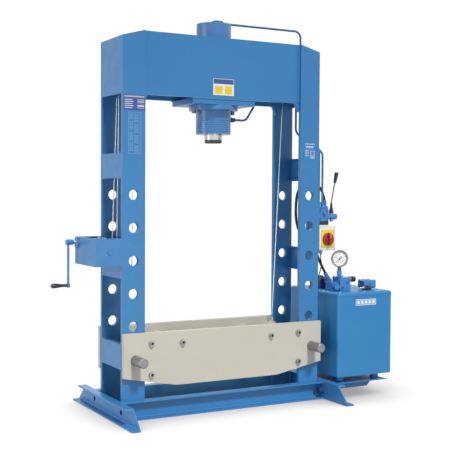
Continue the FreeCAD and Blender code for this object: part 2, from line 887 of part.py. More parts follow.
def rope_eyes():
    """A forged eye round each end spacer takes the rope."""
    eyes = []
    for sign, y in ((-1, "front_rope_y"), (1, "rear_rope_y")):
        x, z = "%d * tie_end_x" % sign, "tie_end_z"
        ring = rod("spacer_radius + 11", 16, x, "%s - 8" % y, z, "y")
        foot = "%s + spacer_radius + 5" % z
        neck = block(12, 12, 31, "%s - 6" % x, "%s - 6" % y, foot)
        hole = rod("spacer_radius + shaft_fit", 16, x, "%s - 8" % y, z, "y")
        eyes.append(cut(fuse(ring, neck), hole))
    return eyes


def build_pins():
    """Two steel pins carry the bed in the post holes and pull out to the front."""
    length = "pin_front + bed_front + pin_tail"
    bevel = "pin_chamfer"
    outline = [
        (0, 0),
        ("pin_radius - " + bevel, 0),
        ("pin_radius", bevel),
        ("pin_radius", length + " - " + bevel),
        ("pin_radius - " + bevel, length),
        (0, length),
    ]
    for side, sign in (("left", -1), ("right", 1)):
        pin = turned(outline, "%d * pin_x" % sign, "-pin_front", "pin_hole_first", "y")
        keep(pin, "%s_pin" % side)


# --- winch -------------------------------------------------------------------------------

def gear_face(teeth, centre_y, centre_z, x, turn, bore):
    """The face of a spur gear in the YZ plane, its flanks as arcs through the involute."""
    module = size("gear_module")
    pitch = module * teeth / 2
    base = pitch * math.cos(math.radians(20))
    tip, root = pitch + module, pitch - 1.25 * module
    half_tooth = math.pi / teeth / 2 - size("gear_backlash") / 2 / pitch
    roll = math.tan(math.radians(20)) - math.radians(20)

    def flank(radius):
        lean = math.acos(min(1.0, base / radius))
        return half_tooth + roll - (math.tan(lean) - lean)

    def spot(radius, angle):
        angle = angle + turn
        return Vector(x, centre_y + radius * math.cos(angle), centre_z + radius * math.sin(angle))

    low = max(root, base)
    middle = (low + tip) / 2
    edges = []
    step = 2 * math.pi / teeth
    for number in range(teeth):
        axis = number * step
        points = [spot(root, axis - flank(low)), spot(low, axis - flank(low)),
                  spot(middle, axis - flank(middle)), spot(tip, axis - flank(tip)),
                  spot(tip, axis + flank(tip)), spot(middle, axis + flank(middle)),
                  spot(low, axis + flank(low)), spot(root, axis + flank(low)),
                  spot(root, axis + step - flank(low))]
        if low - root > 0.01:
            edges.append(Part.LineSegment(points[0], points[1]).toShape())
        edges.append(Part.Arc(points[1], points[2], points[3]).toShape())
        edges.append(Part.LineSegment(points[3], points[4]).toShape())
        edges.append(Part.Arc(points[4], points[5], points[6]).toShape())
        if low - root > 0.01:
            edges.append(Part.LineSegment(points[6], points[7]).toShape())
        edges.append(Part.LineSegment(points[7], points[8]).toShape())
    outer = Part.Wire(edges)
    centre = Vector(x, centre_y, centre_z)
    inner = Part.Wire([Part.Circle(centre, Vector(1, 0, 0), bore).toShape()])
    face = Part.Face(outer).cut(Part.Face(inner)) if bore else Part.Face(outer)
    return face


def gear(teeth, centre_y, centre_z, turn, bore, width):
    face = gear_face(teeth, centre_y, centre_z, size("gear_x"), turn, bore)
    return solid_of(face.extrude(Vector(width, 0, 0)), None)


def build_winch_box():
    """The open tray on the left post, with its bearing plates and the crank's bearing."""
    wall = "sheet_metal"
    long_way, deep = "winch_left - half_width", "frame_depth"
    tall = "winch_top - winch_bottom"
    left = "-winch_left"
    outer = block(long_way, deep, tall, left, "-half_depth", "winch_bottom")
    inner = block(long_way + " - " + wall, deep + " - 2 * " + wall, tall,
                  left + " + " + wall, "-half_depth + " + wall, "winch_bottom + " + wall)
    rim = block(long_way, deep, wall, left, "-half_depth", "winch_top - " + wall)
    rim_hole = block(long_way + " - 8 - " + wall, deep + " - 16 - 2 * " + wall, wall,
                     left + " + 8 + " + wall, "-half_depth + 8 + " + wall, "winch_top - " + wall)
    boss = rod(34, 12, left + " - 8", "crank_y", "crank_z - 4", "x")
    stop = rod(12, 6, left + " + 87", "-half_depth - 6", "winch_bottom + 84", "y")
    middle_x = "gear_x - 14"
    bearing = block(8, deep + " - 2 * " + wall, tall + " - " + wall + " - 12",
                    middle_x, "-half_depth + " + wall, "winch_bottom + " + wall)
    tray = fuse(cut(outer, inner), cut(rim, rim_hole), boss, bearing, stop)
    holes = [
        rod("crank_radius + shaft_fit", 200, "-winch_left - 20", "crank_y", "crank_z", "x"),
        rod("axle_radius", 60, middle_x + " - 10", "drum_y", "drum_z", "x"),
    ]
    rear = "drum_right + 6"
    bracket = block(8, "2 * inner_depth", 97, rear, "-inner_depth", "drum_z - 32")
    bracket = cut(bracket, rod("axle_radius", 20, rear + " - 5", "drum_y", "drum_z", "x"))
    axle = rod("axle_radius", rear + " + 8 - (" + middle_x + ")", middle_x, "drum_y", "drum_z",
               "x")
    keep(group(cut(tray, *holes), bracket, axle), "winch_box")


def winding_path(start_x, exit_x, centre_y, centre_z):
    """A helix round the drum as pairs of tangent arcs, two pairs to a half turn."""
    radius = size("winding_radius")
    turns = int(SIZES["rope_turns"])
    steps = turns * 4
    total = 2 * math.pi * turns
    rise = (exit_x - start_x) / total

    def spot(angle):
        x = exit_x + rise * angle
        return Vector(x, centre_y + radius * math.cos(angle), centre_z + radius * math.sin(angle))

    def heading(angle):
        way = Vector(rise, -radius * math.sin(angle), radius * math.cos(angle))
        return way.normalize()

    edges = []
    for step in range(steps):
        first = -total + total * step / steps
        second = -total + total * (step + 1) / steps
        start, end = spot(first), spot(second)
        leave, arrive = heading(first), heading(second)
        chord = end - start
        both = leave + arrive
        spread = 2 * (1 - leave.dot(arrive))
        reach = (-chord.dot(both) + math.sqrt(chord.dot(both) ** 2 + spread * chord.dot(chord)))
        reach = reach / spread
        near, far = start + leave * reach, end - arrive * reach
        joint = (near + far) * 0.5
        edges.append(Part.Arc(start, arc_middle(start, near, joint), joint).toShape())
        edges.append(Part.Arc(joint, arc_middle(joint, far, end), end).toShape())
    return Part.Wire(edges)


def least_gap(path, radius, apart):
    """The least gap between turns, measured on points along the path."""
    points = path.discretize(240)
    skip = int(apart / path.Length * 240) + 1
    least = min((points[i] - points[j]).Length
                for i in range(len(points)) for j in range(i + skip, len(points)))
    return least - 2 * radius


def build_drum():
    """The rope drum: two grooved zones, a sleeve through to the gear, and the gear."""
    core, rim, thick = "drum_core", "drum_flange", "drum_flange_thick"
    inner = "axle_radius + shaft_fit"
    first, zone = thick, "drum_zone"
    second = "%s + %s" % (first, zone)
    outline = [
        (inner, 0), (rim, 0), (rim, thick), (core, thick),
        (core, second), (rim, second), (rim, second + " + " + thick),
        (core, second + " + " + thick), (core, "drum_length - " + thick),
        (rim, "drum_length - " + thick), (rim, "drum_length"), (inner, "drum_length"),
    ]
    spool = turned(outline, "drum_left", "drum_y", "drum_z", "x")
    gap = "drum_left - (gear_x + gear_width)"
    sleeve = cut(rod(16, gap, "gear_x + gear_width", "drum_y", "drum_z", "x"),
                 rod(inner, gap, "gear_x + gear_width", "drum_y", "drum_z", "x"))
    y, z = size("drum_y"), size("drum_z")
    to_pinion = math.atan2(size("crank_z") - z, size("crank_y") - y)
    teeth = SIZES["gear_teeth"]
    big = gear(teeth, y, z, to_pinion, size(inner), size("gear_width"))
    web = [rod(13, "gear_width", "gear_x",
               "drum_y + %.4f * gear_pitch_radius * 0.62" % math.cos(math.radians(angle)),
               "drum_z + %.4f * gear_pitch_radius * 0.62" % math.sin(math.radians(angle)), "x")
           for angle in range(0, 360, 60)]
    keep(fuse(spool, sleeve, cut(big, *web)), "rope_drum")
    first_exit = size("drum_left + drum_flange_thick + rope_radius + 0.8")
    second_exit = first_exit + size("drum_zone + drum_flange_thick")
    reach = size("rope_pitch") * SIZES["rope_turns"]
    windings = []
    for leaving in (first_exit, second_exit):
        path = winding_path(leaving + reach, leaving, y, z)
        radius = size("rope_radius")
        gap = least_gap(path, radius, 3 * size("winding_radius"))
        print("drum winding length", round(path.Length, 1), "least gap", round(gap, 2))
        windings.append(solid_of(swept(path, radius), None))
    keep(group(*windings), "drum_windings")
    return first_exit, second_exit


def build_crank():
    """Crank shaft with its pinion, the arm with its hub and spindle, and the turning grip."""
    y, z = size("drum_y"), size("drum_z")
    teeth = SIZES["pinion_teeth"]
    to_gear = math.atan2(z - size("crank_z"), y - size("crank_y"))
    half_step = math.pi / teeth
    pinion = gear(teeth, size("crank_y"), size("crank_z"), to_gear + half_step, 0,
                  size("gear_width"))
    start = "crank_arm_x + 4"
    shaft = rod("crank_radius", "gear_x + gear_width - (%s)" % start, start, "crank_y", "crank_z",
                "x")
    keep(fuse(shaft, pinion), "crank_shaft")
    hub_left = "crank_arm_x - 14"
    hub = turned([(0, 0), (15, 0), (17.5, 3), (17.5, 40), (15, 46), (0, 46)],
                 hub_left, "crank_y", "crank_z", "x")
    hub = cut(hub, rod("crank_radius", 40, start, "crank_y", "crank_z", "x"))
    arm = block(8, 22, "crank_drop", "crank_arm_x - 4", "crank_y - 11", "crank_z - crank_drop")
    low = "crank_z - crank_drop"
    foot = rod(14, 14, "crank_arm_x - 7", "crank_y", low, "x")
    spindle = rod(5, "grip_length + 3", "crank_arm_x - 7", "crank_y", low, "-x")
    head = rod(8, 3, "crank_arm_x - 7 - grip_length - 3", "crank_y", low, "-x")
    arm = cut(arm, rod("crank_radius", 20, start, "crank_y", "crank_z", "x"))
    keep(fuse(hub, arm, foot, spindle, head), "crank_arm")
    grip = [
        (5.05, 0), (8, 0), (9, 3), (9.5, 20), (13, 50), (15, 80), (15.5, "grip_length - 8"),
        (12, "grip_length"), (5.05, "grip_length"),
    ]
    keep(turned(grip, "crank_arm_x - 8.5", "crank_y", low, "-x"), "crank_grip")


def build_sheaves():
    """Rope sheaves on axles between the head plates."""
    rim, bottom, half = "sheave_rim", "sheave_radius - rope_clearance", "sheave_width / 2"
    bore = "axle_radius + shaft_fit"
    outline = [
        (bore, "-" + half), (rim, "-" + half), (rim, "-%s + 1" % half), (bottom, "-4.5"),
        (bottom, "4.5"), (rim, half + " - 1"), (rim, half), (bore, half),
    ]
    spots = (("front_left_sheave", "left_sheave_x", "front_rope_y"),
             ("rear_left_sheave", "left_sheave_x", "rear_rope_y"),
             ("right_sheave", "right_sheave_x", "rear_rope_y"))
    for label, x, y in spots:
        keep(turned(outline, x, y, "sheave_z", "y"), label)
    gap = "inner_depth - plate"
    axles = []
    for x, ys in (("left_sheave_x", ("front_rope_y", "rear_rope_y")),
                  ("right_sheave_x", ("rear_rope_y",))):
        pieces = [rod("axle_radius", "2 * (%s)" % gap, x, "-(%s)" % gap, "sheave_z", "y")]
        for y in ys:
            pieces.append(rod(16, 8, x, "%s - %s - 9" % (y, half), "sheave_z", "y"))
        axles.append(fuse(*pieces))
    keep(group(*axles), "sheave_axles")


def rope_corner(foot, centre_x, centre_z, way):
    """Where a leg from a point below meets the level line over its sheave."""
    pitch = size("sheave_pitch")
    across, up = centre_x - foot[0], centre_z - foot[2]
    reach = math.hypot(across, up)
    lean = math.atan2(across, up) - way * math.asin(pitch / reach)
    rise = centre_z + pitch - foot[2]
    return foot[0] + rise * math.tan(lean)


def build_ropes(first_exit, second_exit):
    """Taut wire ropes from the drum, over the sheaves, down to the eyes of the bed."""
    drum_side = size("drum_y + winding_radius")
    top = size("sheave_z + sheave_pitch")
    seat = 0.3
    eye_z = size("tie_end_z + spacer_radius + 36") + seat
    left, right = size("left_sheave_x"), size("right_sheave_x")
    sheave_z = size("sheave_z")
    bend = size("sheave_pitch") - 0.6
    eye_x = size("tie_end_x")
    front_y, rear_y = size("front_rope_y"), size("rear_rope_y")
    radius = size("rope_radius")

    foot = (first_exit, drum_side, size("drum_z") + seat)
    eye = (eye_x, rear_y, eye_z)
    up_x = rope_corner(foot, left, sheave_z, 1)
    down_x = rope_corner(eye, right, sheave_z, -1)
    right_run = [foot, (up_x, rear_y, top), (down_x, rear_y, top), eye]
    keep(solid_of(run_of(right_run, [bend, bend], radius, "right rope"), None), "right_rope")

    foot = (second_exit, drum_side, size("drum_z") + seat)
    eye = (-eye_x, front_y, eye_z)
    up_x = rope_corner(foot, left, sheave_z, 1)
    down_x = rope_corner(eye, left, sheave_z, -1)
    left_run = [foot, (up_x, front_y, top), (down_x, front_y, top), eye]
    keep(solid_of(run_of(left_run, [bend, bend], radius, "left rope"), None), "left_rope")


# --- power unit --------------------------------------------------------------------------

def rounded_block(length, width, height, x, y, z, corner):
    """A box with its upright edges rounded."""
    outline = [(0, 0), (length, 0), (length, width), (0, width)]
    body = extruded("XY", outline, height, x, y, z)
    return softened(body, corner, lambda edge: runs_along(edge, Vector(0, 0, 1)))


def build_tank():
    """The folded oil tank, its cover with a rolled rim, and the stand below."""
    long_way = "tank_right - tank_left"
    deep = "2 * tank_half_depth"
    tall = "tank_top - tank_bottom"
    wall = "tank_wall"
    outer = rounded_block(long_way, deep, tall, "tank_left", "-tank_half_depth", "tank_bottom",
                          "tank_corner")
    inner = rounded_block(long_way + " - 2 * " + wall, deep + " - 2 * " + wall, tall,
                          "tank_left + " + wall, "-tank_half_depth + " + wall,
                          "tank_bottom + " + wall, "tank_corner - " + wall)
    keep(cut(outer, inner), "oil_tank")
    lip = "cover_lip"
    cover = rounded_block(long_way + " + 2 * " + lip, deep + " + 2 * " + lip, "cover_thick",
                          "tank_left - " + lip, "-tank_half_depth - " + lip, "tank_top",
                          "tank_corner + " + lip)
    top = size("cover_thick")
    softened(cover, "cover_round", lambda edge: abs(edge.CenterOfMass.z - top) < 0.01)
    keep(cut(cover, rod(62, 60, "motor_x", "motor_y", "tank_top - 20")), "tank_cover")
    arms = []
    tray_z = "arm_bottom + arm_height"
    for sign in (-1, 1):
        start = "foot_web_x + channel_web"
        high = "arm_height"
        outline = [(0, 0), ("arm_reach - (%s) - arm_height" % start, 0),
                   ("arm_reach - (%s)" % start, high), (0, high)]
        arms.append(extruded("XZ", outline, "arm_width", start,
                             "%d * arm_y - arm_width / 2" % sign, "arm_bottom"))
    tray = block(long_way + " - tray_inset - 7", deep + " - 20", "tray_thick", "tank_left + 7",
                 "-tank_half_depth + 10", tray_z)
    tall = "tank_bottom - (%s) - tray_thick" % tray_z
    pads = [rod(28, tall, x, "%d * (tank_half_depth - 90)" % sign, tray_z + " + tray_thick")
            for x in ("tank_left + 80", "tank_right - 80") for sign in (-1, 1)]
    keep(group(*arms, tray, *pads), "tank_stand")


def build_motor():
    """Pump motor through the cover: its housing above, the pump under the oil."""
    x, y = "motor_x", "motor_y"
    above = turned([(0, 0), (56, 0), (56, 68), (48, 80), (0, 80)], x, y, "cover_top")
    plate = rod(72, 6, x, y, "cover_top")
    below = rod(56, 200, x, y, "cover_top - 200")
    pump = block(90, 90, 110, x + " - 45", y + " - 45", "cover_top - 310")
    gland = rod(8, 70, x, y, "cover_top + 54")
    gland.Placement = FreeCAD.Placement(spot(x, y, "cover_top + 54"),
                                        FreeCAD.Rotation(Vector(0, 0, 1), Vector(-1, -1, 0)))
    keep(fuse(above, plate, below, pump, gland), "pump_motor")


def build_valve_block():
    """The manifold on the cover with its relief cartridge, and the gauge's adapter."""
    low = "cover_top"
    left = "tank_left + 95"
    body = block(86, 90, 91, left, -180, low)
    second = block(54, 70, 60, left + " - 54", -158, low)
    cartridge = turned([(0, 0), (17, 0), (17, 26), (13, 30), (13, 64), (0, 64)],
                       left + " + 86", -95, low + " + 68", "x")
    union = hexagon(24, 28, left + " - 27", -186, low + " + 31", "y")
    adapter = turned([(0, 0), (20, 0), (20, 8), (14, 12), (17, 20), (17, 40), (0, 40)],
                     "gauge_x", "gauge_y", low + " + 91")
    nut = hexagon(12, "gauge_z - gauge_radius - (cover_top + 131)", "gauge_x", "gauge_y",
                  low + " + 131")
    keep(group(fuse(body, second, cartridge, union, adapter), nut), "valve_block")
    knob = [(0, 0), (19, 0), (19, 30), (16, 34), (0, 34)]
    keep(turned(knob, left + " + 150.3", -95, low + " + 68", "x"), "relief_knob")
    start = "tank_left + 287"
    head = block(98, 84, 56, start, -199, low + " + 10")
    feet = [rod(12, 10, start + " + %d" % inset, -157, low) for inset in (24, 74)]
    keep(fuse(head, *feet), "filter_head")
    elbow = block(26, 22, 26, start + " + 5", -221, low + " + 4")
    plug = turned([(0, 0), (10, 0), (11, 4), (11, 20), (6, 24), (6, 54), (0, 54)],
                  start + " + 5", -210, low + " + 17", "-x")
    keep(fuse(elbow, plug), "filter_plug")


def build_gauge():
    """The pressure gauge, turned towards the operator."""
    turn = math.radians(SIZES["gauge_turn"])
    face = Vector(-math.sin(turn), -math.cos(turn), 0)
    rim, dial = "gauge_radius", "gauge_radius - gauge_rim"
    case = turned([
        (0, -22), (rim + " - 7", -22), (rim + " - 3", -18), (rim, 8), (rim, 14),
        (dial, 14), (dial, 4), (3, 4), (3, 7), (0, 7),
    ])
    hand = doc.addObject("Part::Feature", "Hand")
    angle = math.radians(225)
    hand.Shape = pointer_shape(angle)
    for thing in (case, hand):
        base = Vector(size("gauge_x"), size("gauge_y"), size("gauge_z"))
        thing.Placement = FreeCAD.Placement(base, upright_turn(face))
    for name in ("gauge_x", "gauge_y", "gauge_z"):
        case.setExpression(".Placement.Base." + name[-1], bound(name))
    keep(case, "gauge_case")
    keep(hand, "gauge_pointer")


def upright_turn(face):
    """The turn that lays a dial's +Z on the face direction and keeps its +Y upright."""
    up = Vector(0, 0, 1)
    across = up.cross(face)
    return FreeCAD.Rotation(across, up, face, "ZXY")


def pointer_shape(angle):
    """A tapered hand with a round hub and a short tail, pointing along the angle."""
    way = Vector(math.cos(angle), math.sin(angle), 0)
    side = Vector(-way.y, way.x, 0)
    length = size("gauge_radius - gauge_rim") - 7
    corners = [side * 3 - way * 18, side * -3 - way * 18, side * -0.8 + way * length,
               side * 0.8 + way * length]
    corners = [corner + Vector(0, 0, 7.5) for corner in corners]
    blade = Part.Face(Part.makePolygon(corners + [corners[0]])).extrude(Vector(0, 0, 1))
    hub = Part.makeCylinder(6, 2.5, Vector(0, 0, 7.5))
    return blade.fuse(hub).removeSplitter()


def build_controls():
    """The spool valve with its lever, and the main switch, on a bracket of the right post."""
    low, outside = "lever_z - 257", "half_width"
    high, step, deep = low + " + 340", low + " + 130", -95
    outline = [("-half_depth", low), ("-half_depth", high), (-28, high), (-28, step),
               (deep, step), (deep, low)]
    keep(extruded("YZ", outline, 8, outside), "control_bracket")
    keep(block(92, 80, 26, outside + " + 8", -150, "lever_z - 70"), "valve_shelf")

    x, y, z = "lever_x", "lever_y", "lever_z"
    left = "lever_x - 127"
    body = block(78, 42, 80, left, -150, z + " - 44")
    back = block(104, 38, 98, left, -108, z + " - 44")
    ribs = [block(78, 20, 6, left, -152, z + " + %d" % rise) for rise in (-24, 14)]
    spool = rod(19, 86, left + " + 78", y, z + " - 14", "x")
    dome = ball(17, x, y, z)
    slot = block(24, 10.6, 40, x + " - 12", y + " - 5.3", z + " - 9")
    pivot = rod(3, 24, x, y + " - 12", z, "y")
    ports = []
    for px in ("lever_x - 101", "lever_x - 74"):
        ports.append(hexagon(12.5, 26, px, y, "valve_top - 26"))
        ports.append(rod(9, 26, px, y, "valve_top - 52"))
    mouth = spot("lever_x - 43", -90, "valve_top + 12")
    way = (mouth - spot("lever_x - 53", -89, "valve_top + 60")).normalize()
    outline = [(0, 0), (12, 0), (12, 22), (9, 26), (9, 54), (0, 54)]
    ports.append(solid_of(spun(outline, mouth, way), None))
    knob = turned([(0, 0), (10, 0), (12, 4), (12, 16), (0, 16)], x, y, z + " - 32", "-z")
    solid = fuse(body, back, *ribs, spool, dome, knob, *ports)
    keep(fuse(cut(solid, slot), pivot), "control_valve")

    eye = rod(8, 10, x, y + " - 5", z, "y")
    hole = rod(3.05, 10, x, y + " - 5", z, "y")
    route = [(x, y, z + " + 4"), (x, y, z + " + 82"), (x + " + 41", y, z + " + 278")]
    stick = solid_of(run_of(route, [60], 4.5, None), None)
    keep(cut(fuse(eye, stick), hole), "control_lever")
    boot = [
        (4.6, 74), (8.5, 70), (7.2, 62), (8.2, 56), (7.4, 50), (11, 40), (15.2, 28),
        (18.5, 12), (16.8, 12), (14.3, 22), (9.3, 33), (4.6, 35),
    ]
    keep(turned(boot, x, y, z), "lever_boot")
    top, below = spot(*route[2]), spot(*route[1])
    heading = (top - below).normalize()
    grip = [(4.6, 0), (9, 0), (14, 58), (14, 66), (10, 74), (0, 74), (0, 66.3), (4.6, 66.3)]
    keep(solid_of(spun(grip, top - heading * 66, heading), None), "lever_grip")

    box = rounded_block(131, 80, 163, outside + " + 8", -180, low + " + 18", 8)
    plate = block(104, 3, 119, outside + " + 21", -183, low + " + 38")
    gland_x = outside + " + 46"
    gland = rod(13, 14, gland_x, -140, low + " + 18", "-z")
    nose = cone(11, 6, 16, gland_x, -140, low + " + 4", "-z")
    keep(group(fuse(box, gland, nose), plate), "switch_box")
    knob = turned([(0, 0), (42, 0), (42, 10), (38, 14), (0, 14)], outside + " + 73", -183.3,
                  low + " + 94", "-y")
    bar = block(20, 24, 76, outside + " + 63", -220.3, low + " + 56")
    keep(fuse(knob, bar), "switch_knob")


def build_hoses():
    """The hose from the valve through the right post to the tank, and the switch cable."""
    side, top, cover = "half_width", "valve_top", "cover_top"
    port = "lever_x"
    hose = [
        (port + " - 43", -90, top + " + 12"), (port + " - 53", -89, top + " + 60"),
        (port + " - 82", -88, top + " + 102"), (side + " + 21", -86, top + " + 127"),
        (side + " - 30", -84, top + " + 127"), (side + " - 76", -81, top + " + 102"),
        (side + " - 105", -78, top + " + 60"), (side + " - 114", -76, top + " - 16"),
        (side + " - 112", -73, top + " - 101"), (side + " - 94", -70, top + " - 178"),
        (side + " - 54", -67, top + " - 224"), (side + " + 6", -63, top + " - 250"),
        (side + " + 57", -60, cover + " + 284"), (side + " + 88", -60, cover + " + 199"),
        (side + " + 138", -60, cover + " + 116"),
    ]
    keep(solid_of(run_of(hose, None, size("hose_radius"), "valve hose"), None), "valve_hose")
    end, before = spot(*hose[-1]), spot(*hose[-2])
    way = (end - before).normalize()
    ferrule = Part.makeCylinder(13, 34, end, way)
    nut = Part.makeCylinder(17, 20, end + way * 34, way)
    corner = Vector(end.x + way.x * 54 - 17, end.y - 17, size(cover) + 44)
    elbow = Part.makeBox(34, 34, 30, corner)
    stem = Part.makeCylinder(12, 46, Vector(corner.x + 17, end.y, size(cover)))
    fitting = solid_of(ferrule.fuse([nut, elbow, stem]), None)
    cable = [
        (side + " + 46", -140, "lever_z - 269"), (side + " + 46", -140, "lever_z - 296"),
        (side + " + 63", -126, "lever_z - 332"), (side + " + 83", -88, cover + " + 142"),
        (side + " + 80", -58, cover + " + 84"),
        ("motor_x - 84", "motor_y - 84", cover + " + 56"),
        ("motor_x - 49.8", "motor_y - 49.8", cover + " + 54"),
    ]
    keep(solid_of(run_of(cable, None, 3.5, "switch cable"), None), "switch_cable")
    return fitting


build_uprights()
build_head()
build_load_plate()
build_cross_channels()
build_feet()
beam_bolts = build_base_beams()
build_barrel()
flange_bolts = build_flange()
keep(group(*beam_bolts, *flange_bolts), "frame_bolts")
port_fittings = build_cap()
build_gland()
build_ram()
build_pipes()
build_bed()
build_pins()
build_winch_box()
rope_exits = build_drum()
build_crank()
build_sheaves()
build_ropes(*rope_exits)
build_tank()
build_motor()
build_valve_block()
build_gauge()
build_controls()
keep(group(*port_fittings, build_hoses()), "fittings")

doc.removeObject(probe.Name)
doc.recompute()
for item in doc.Objects:
    if {"Invalid", "Error"} & set(item.State):
        raise RuntimeError("failed: %s %s" % (item.Label, item.State))
for part in SUBPARTS:
    if part.Shape.isNull() or not part.Shape.isValid() or not part.Shape.Solids:
        raise RuntimeError("bad shape: " + part.Label)
for part in SUBPARTS:
    part.Shape.exportStep("parts/%s.step" % part.Label)
print(len(SUBPARTS), "sub-parts written")
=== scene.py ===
import bmesh
import bpy
import math
from mathutils import Matrix, Vector


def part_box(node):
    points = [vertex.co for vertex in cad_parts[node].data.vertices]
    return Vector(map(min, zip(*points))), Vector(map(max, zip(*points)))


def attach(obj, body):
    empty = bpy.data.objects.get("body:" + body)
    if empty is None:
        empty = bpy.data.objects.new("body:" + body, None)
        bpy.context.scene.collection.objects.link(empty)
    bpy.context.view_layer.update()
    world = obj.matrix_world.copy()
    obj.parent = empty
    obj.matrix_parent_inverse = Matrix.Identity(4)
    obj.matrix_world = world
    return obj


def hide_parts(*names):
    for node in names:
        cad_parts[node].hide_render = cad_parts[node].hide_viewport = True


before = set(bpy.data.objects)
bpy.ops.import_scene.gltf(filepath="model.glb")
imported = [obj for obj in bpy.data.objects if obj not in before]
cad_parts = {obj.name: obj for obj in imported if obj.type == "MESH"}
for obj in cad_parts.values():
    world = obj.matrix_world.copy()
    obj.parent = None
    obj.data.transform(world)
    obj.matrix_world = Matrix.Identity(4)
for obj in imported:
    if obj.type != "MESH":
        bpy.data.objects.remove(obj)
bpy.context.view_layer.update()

# Workshop press.  Places are in millimetres from the floor below the ram's axis, and AXIS turns
# them into metres of the frame.  +X runs to the power unit, +Y to the back, +Z up.
low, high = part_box("ram")
AXIS = Matrix.Translation(((low[0] + high[0]) / 2, 0, 0)) @ Matrix.Scale(0.001, 4)
FRONT, BACK, LEFT, RIGHT = (0, -1, 0), (0, 1, 0), (-1, 0, 0), (1, 0, 0)
UP, DOWN = (0, 0, 1), (0, 0, -1)
scene = bpy.context.scene


def at(x, y, z):
    return AXIS @ Vector((x, y, z))


# --- camera, light and floor ---------------------------------------------------------------

FOCAL_LENGTH, SENSOR_WIDTH = 75.24, 36
CAMERA_PLACE = (-2860.4, -5429.8, 1353.2)
CAMERA_TURN = (28.67, 1.99, 0.31)
ROOM_WHITE = 1.02
FLOOR_HALF = 9


def turn_of(yaw, pitch, roll):
    """The camera's turn from its heading right of +Y, its tilt down and its roll."""
    yaw, pitch, roll = (math.radians(angle) for angle in (yaw, pitch, roll))
    ahead = Vector((math.sin(yaw) * math.cos(pitch), math.cos(yaw) * math.cos(pitch),
                    -math.sin(pitch)))
    right = Vector((math.cos(yaw), -math.sin(yaw), 0))
    up = right.cross(ahead)
    level = math.cos(roll) * right + math.sin(roll) * up
    above = math.cos(roll) * up - math.sin(roll) * right
    return Matrix((level, above, -ahead)).transposed().to_4x4()


def set_camera():
    lens = bpy.data.cameras.new("photo_camera")
    lens.lens, lens.sensor_width = FOCAL_LENGTH, SENSOR_WIDTH
    lens.clip_start, lens.clip_end = 0.1, 60
    camera = bpy.data.objects.new("photo_camera", lens)
    scene.collection.objects.link(camera)
    camera.matrix_world = Matrix.Translation(at(*CAMERA_PLACE)) @ turn_of(*CAMERA_TURN)
    scene.camera = camera


def softbox(name, place, target, width, height, power, tint=(1, 1, 1)):
    """A rectangle of light in metres of the frame, turned to its target."""
    light = bpy.data.lights.new(name, "AREA")
    light.shape = "RECTANGLE"
    light.size, light.size_y, light.energy, light.color = width, height, power, tint
    lamp = bpy.data.objects.new(name, light)
    scene.collection.objects.link(lamp)
    lamp.location = place
    lamp.rotation_euler = (Vector(target) - Vector(place)).to_track_quat("-Z", "Y").to_euler()


def seen_rays(nodes, links, rays):
    """One for rays from the camera or from a glossy surface, which both see the white room."""
    either = nodes.new("ShaderNodeMath")
    either.operation = "MAXIMUM"
    links.new(rays.outputs["Is Camera Ray"], either.inputs[0])
    links.new(rays.outputs["Is Glossy Ray"], either.inputs[1])
    return either.outputs[0]


def sun(name, heading, strength, softness):
    """Daylight along a heading; its softness is in degrees."""
    light = bpy.data.lights.new(name, "SUN")
    light.energy, light.angle = strength, math.radians(softness)
    lamp = bpy.data.objects.new(name, light)
    scene.collection.objects.link(lamp)
    lamp.rotation_euler = Vector(heading).to_track_quat("-Z", "Y").to_euler()


def set_room():
    """A white room to the camera and in reflections, and a dim violet one to everything else."""
    world = bpy.data.worlds.new("studio")
    scene.world = world
    world.use_nodes = True
    nodes, links = world.node_tree.nodes, world.node_tree.links
    seen = nodes.new("ShaderNodeBackground")
    seen.inputs["Color"].default_value = (1, 1, 1, 1)
    seen.inputs["Strength"].default_value = ROOM_WHITE
    nodes["Background"].inputs["Color"].default_value = (0.94, 0.87, 1, 1)
    nodes["Background"].inputs["Strength"].default_value = 0.25
    rays, mix = nodes.new("ShaderNodeLightPath"), nodes.new("ShaderNodeMixShader")
    links.new(seen_rays(nodes, links, rays), mix.inputs[0])
    links.new(nodes["Background"].outputs[0], mix.inputs[1])
    links.new(seen.outputs[0], mix.inputs[2])
    links.new(mix.outputs[0], nodes["World Output"].inputs["Surface"])


def set_studio():
    scene.view_settings.view_transform = "Standard"
    set_room()
    sun("key", (0.02, 0.66, -0.75), 2.5, 9)
    softbox("left_wall", (-5.2, 0.3, 1.7), (0, 0, 1.2), 3.0, 3.4, 84, (0.94, 1, 1.06))
    softbox("low_left", (-3.6, -0.6, 0.5), (-0.75, 0, 0.15), 0.9, 0.5, 9)
    softbox("inner_fill", (-0.35, -2.7, 0.8), (0.9, -0.1, 0.6), 0.9, 1.3, 11)
    softbox("back_fill", (1.5, 4.8, 4.0), (0, 0, 1.0), 3, 3, 50)
    lay_floor()


def lay_floor():
    form = bmesh.new()
    bmesh.ops.create_grid(form, x_segments=1, y_segments=1, size=FLOOR_HALF)
    mesh = bpy.data.meshes.new("floor")
    form.to_mesh(mesh)
    form.free()
    floor = bpy.data.objects.new("floor", mesh)
    scene.collection.objects.link(floor)
    mesh.materials.append(white_floor())


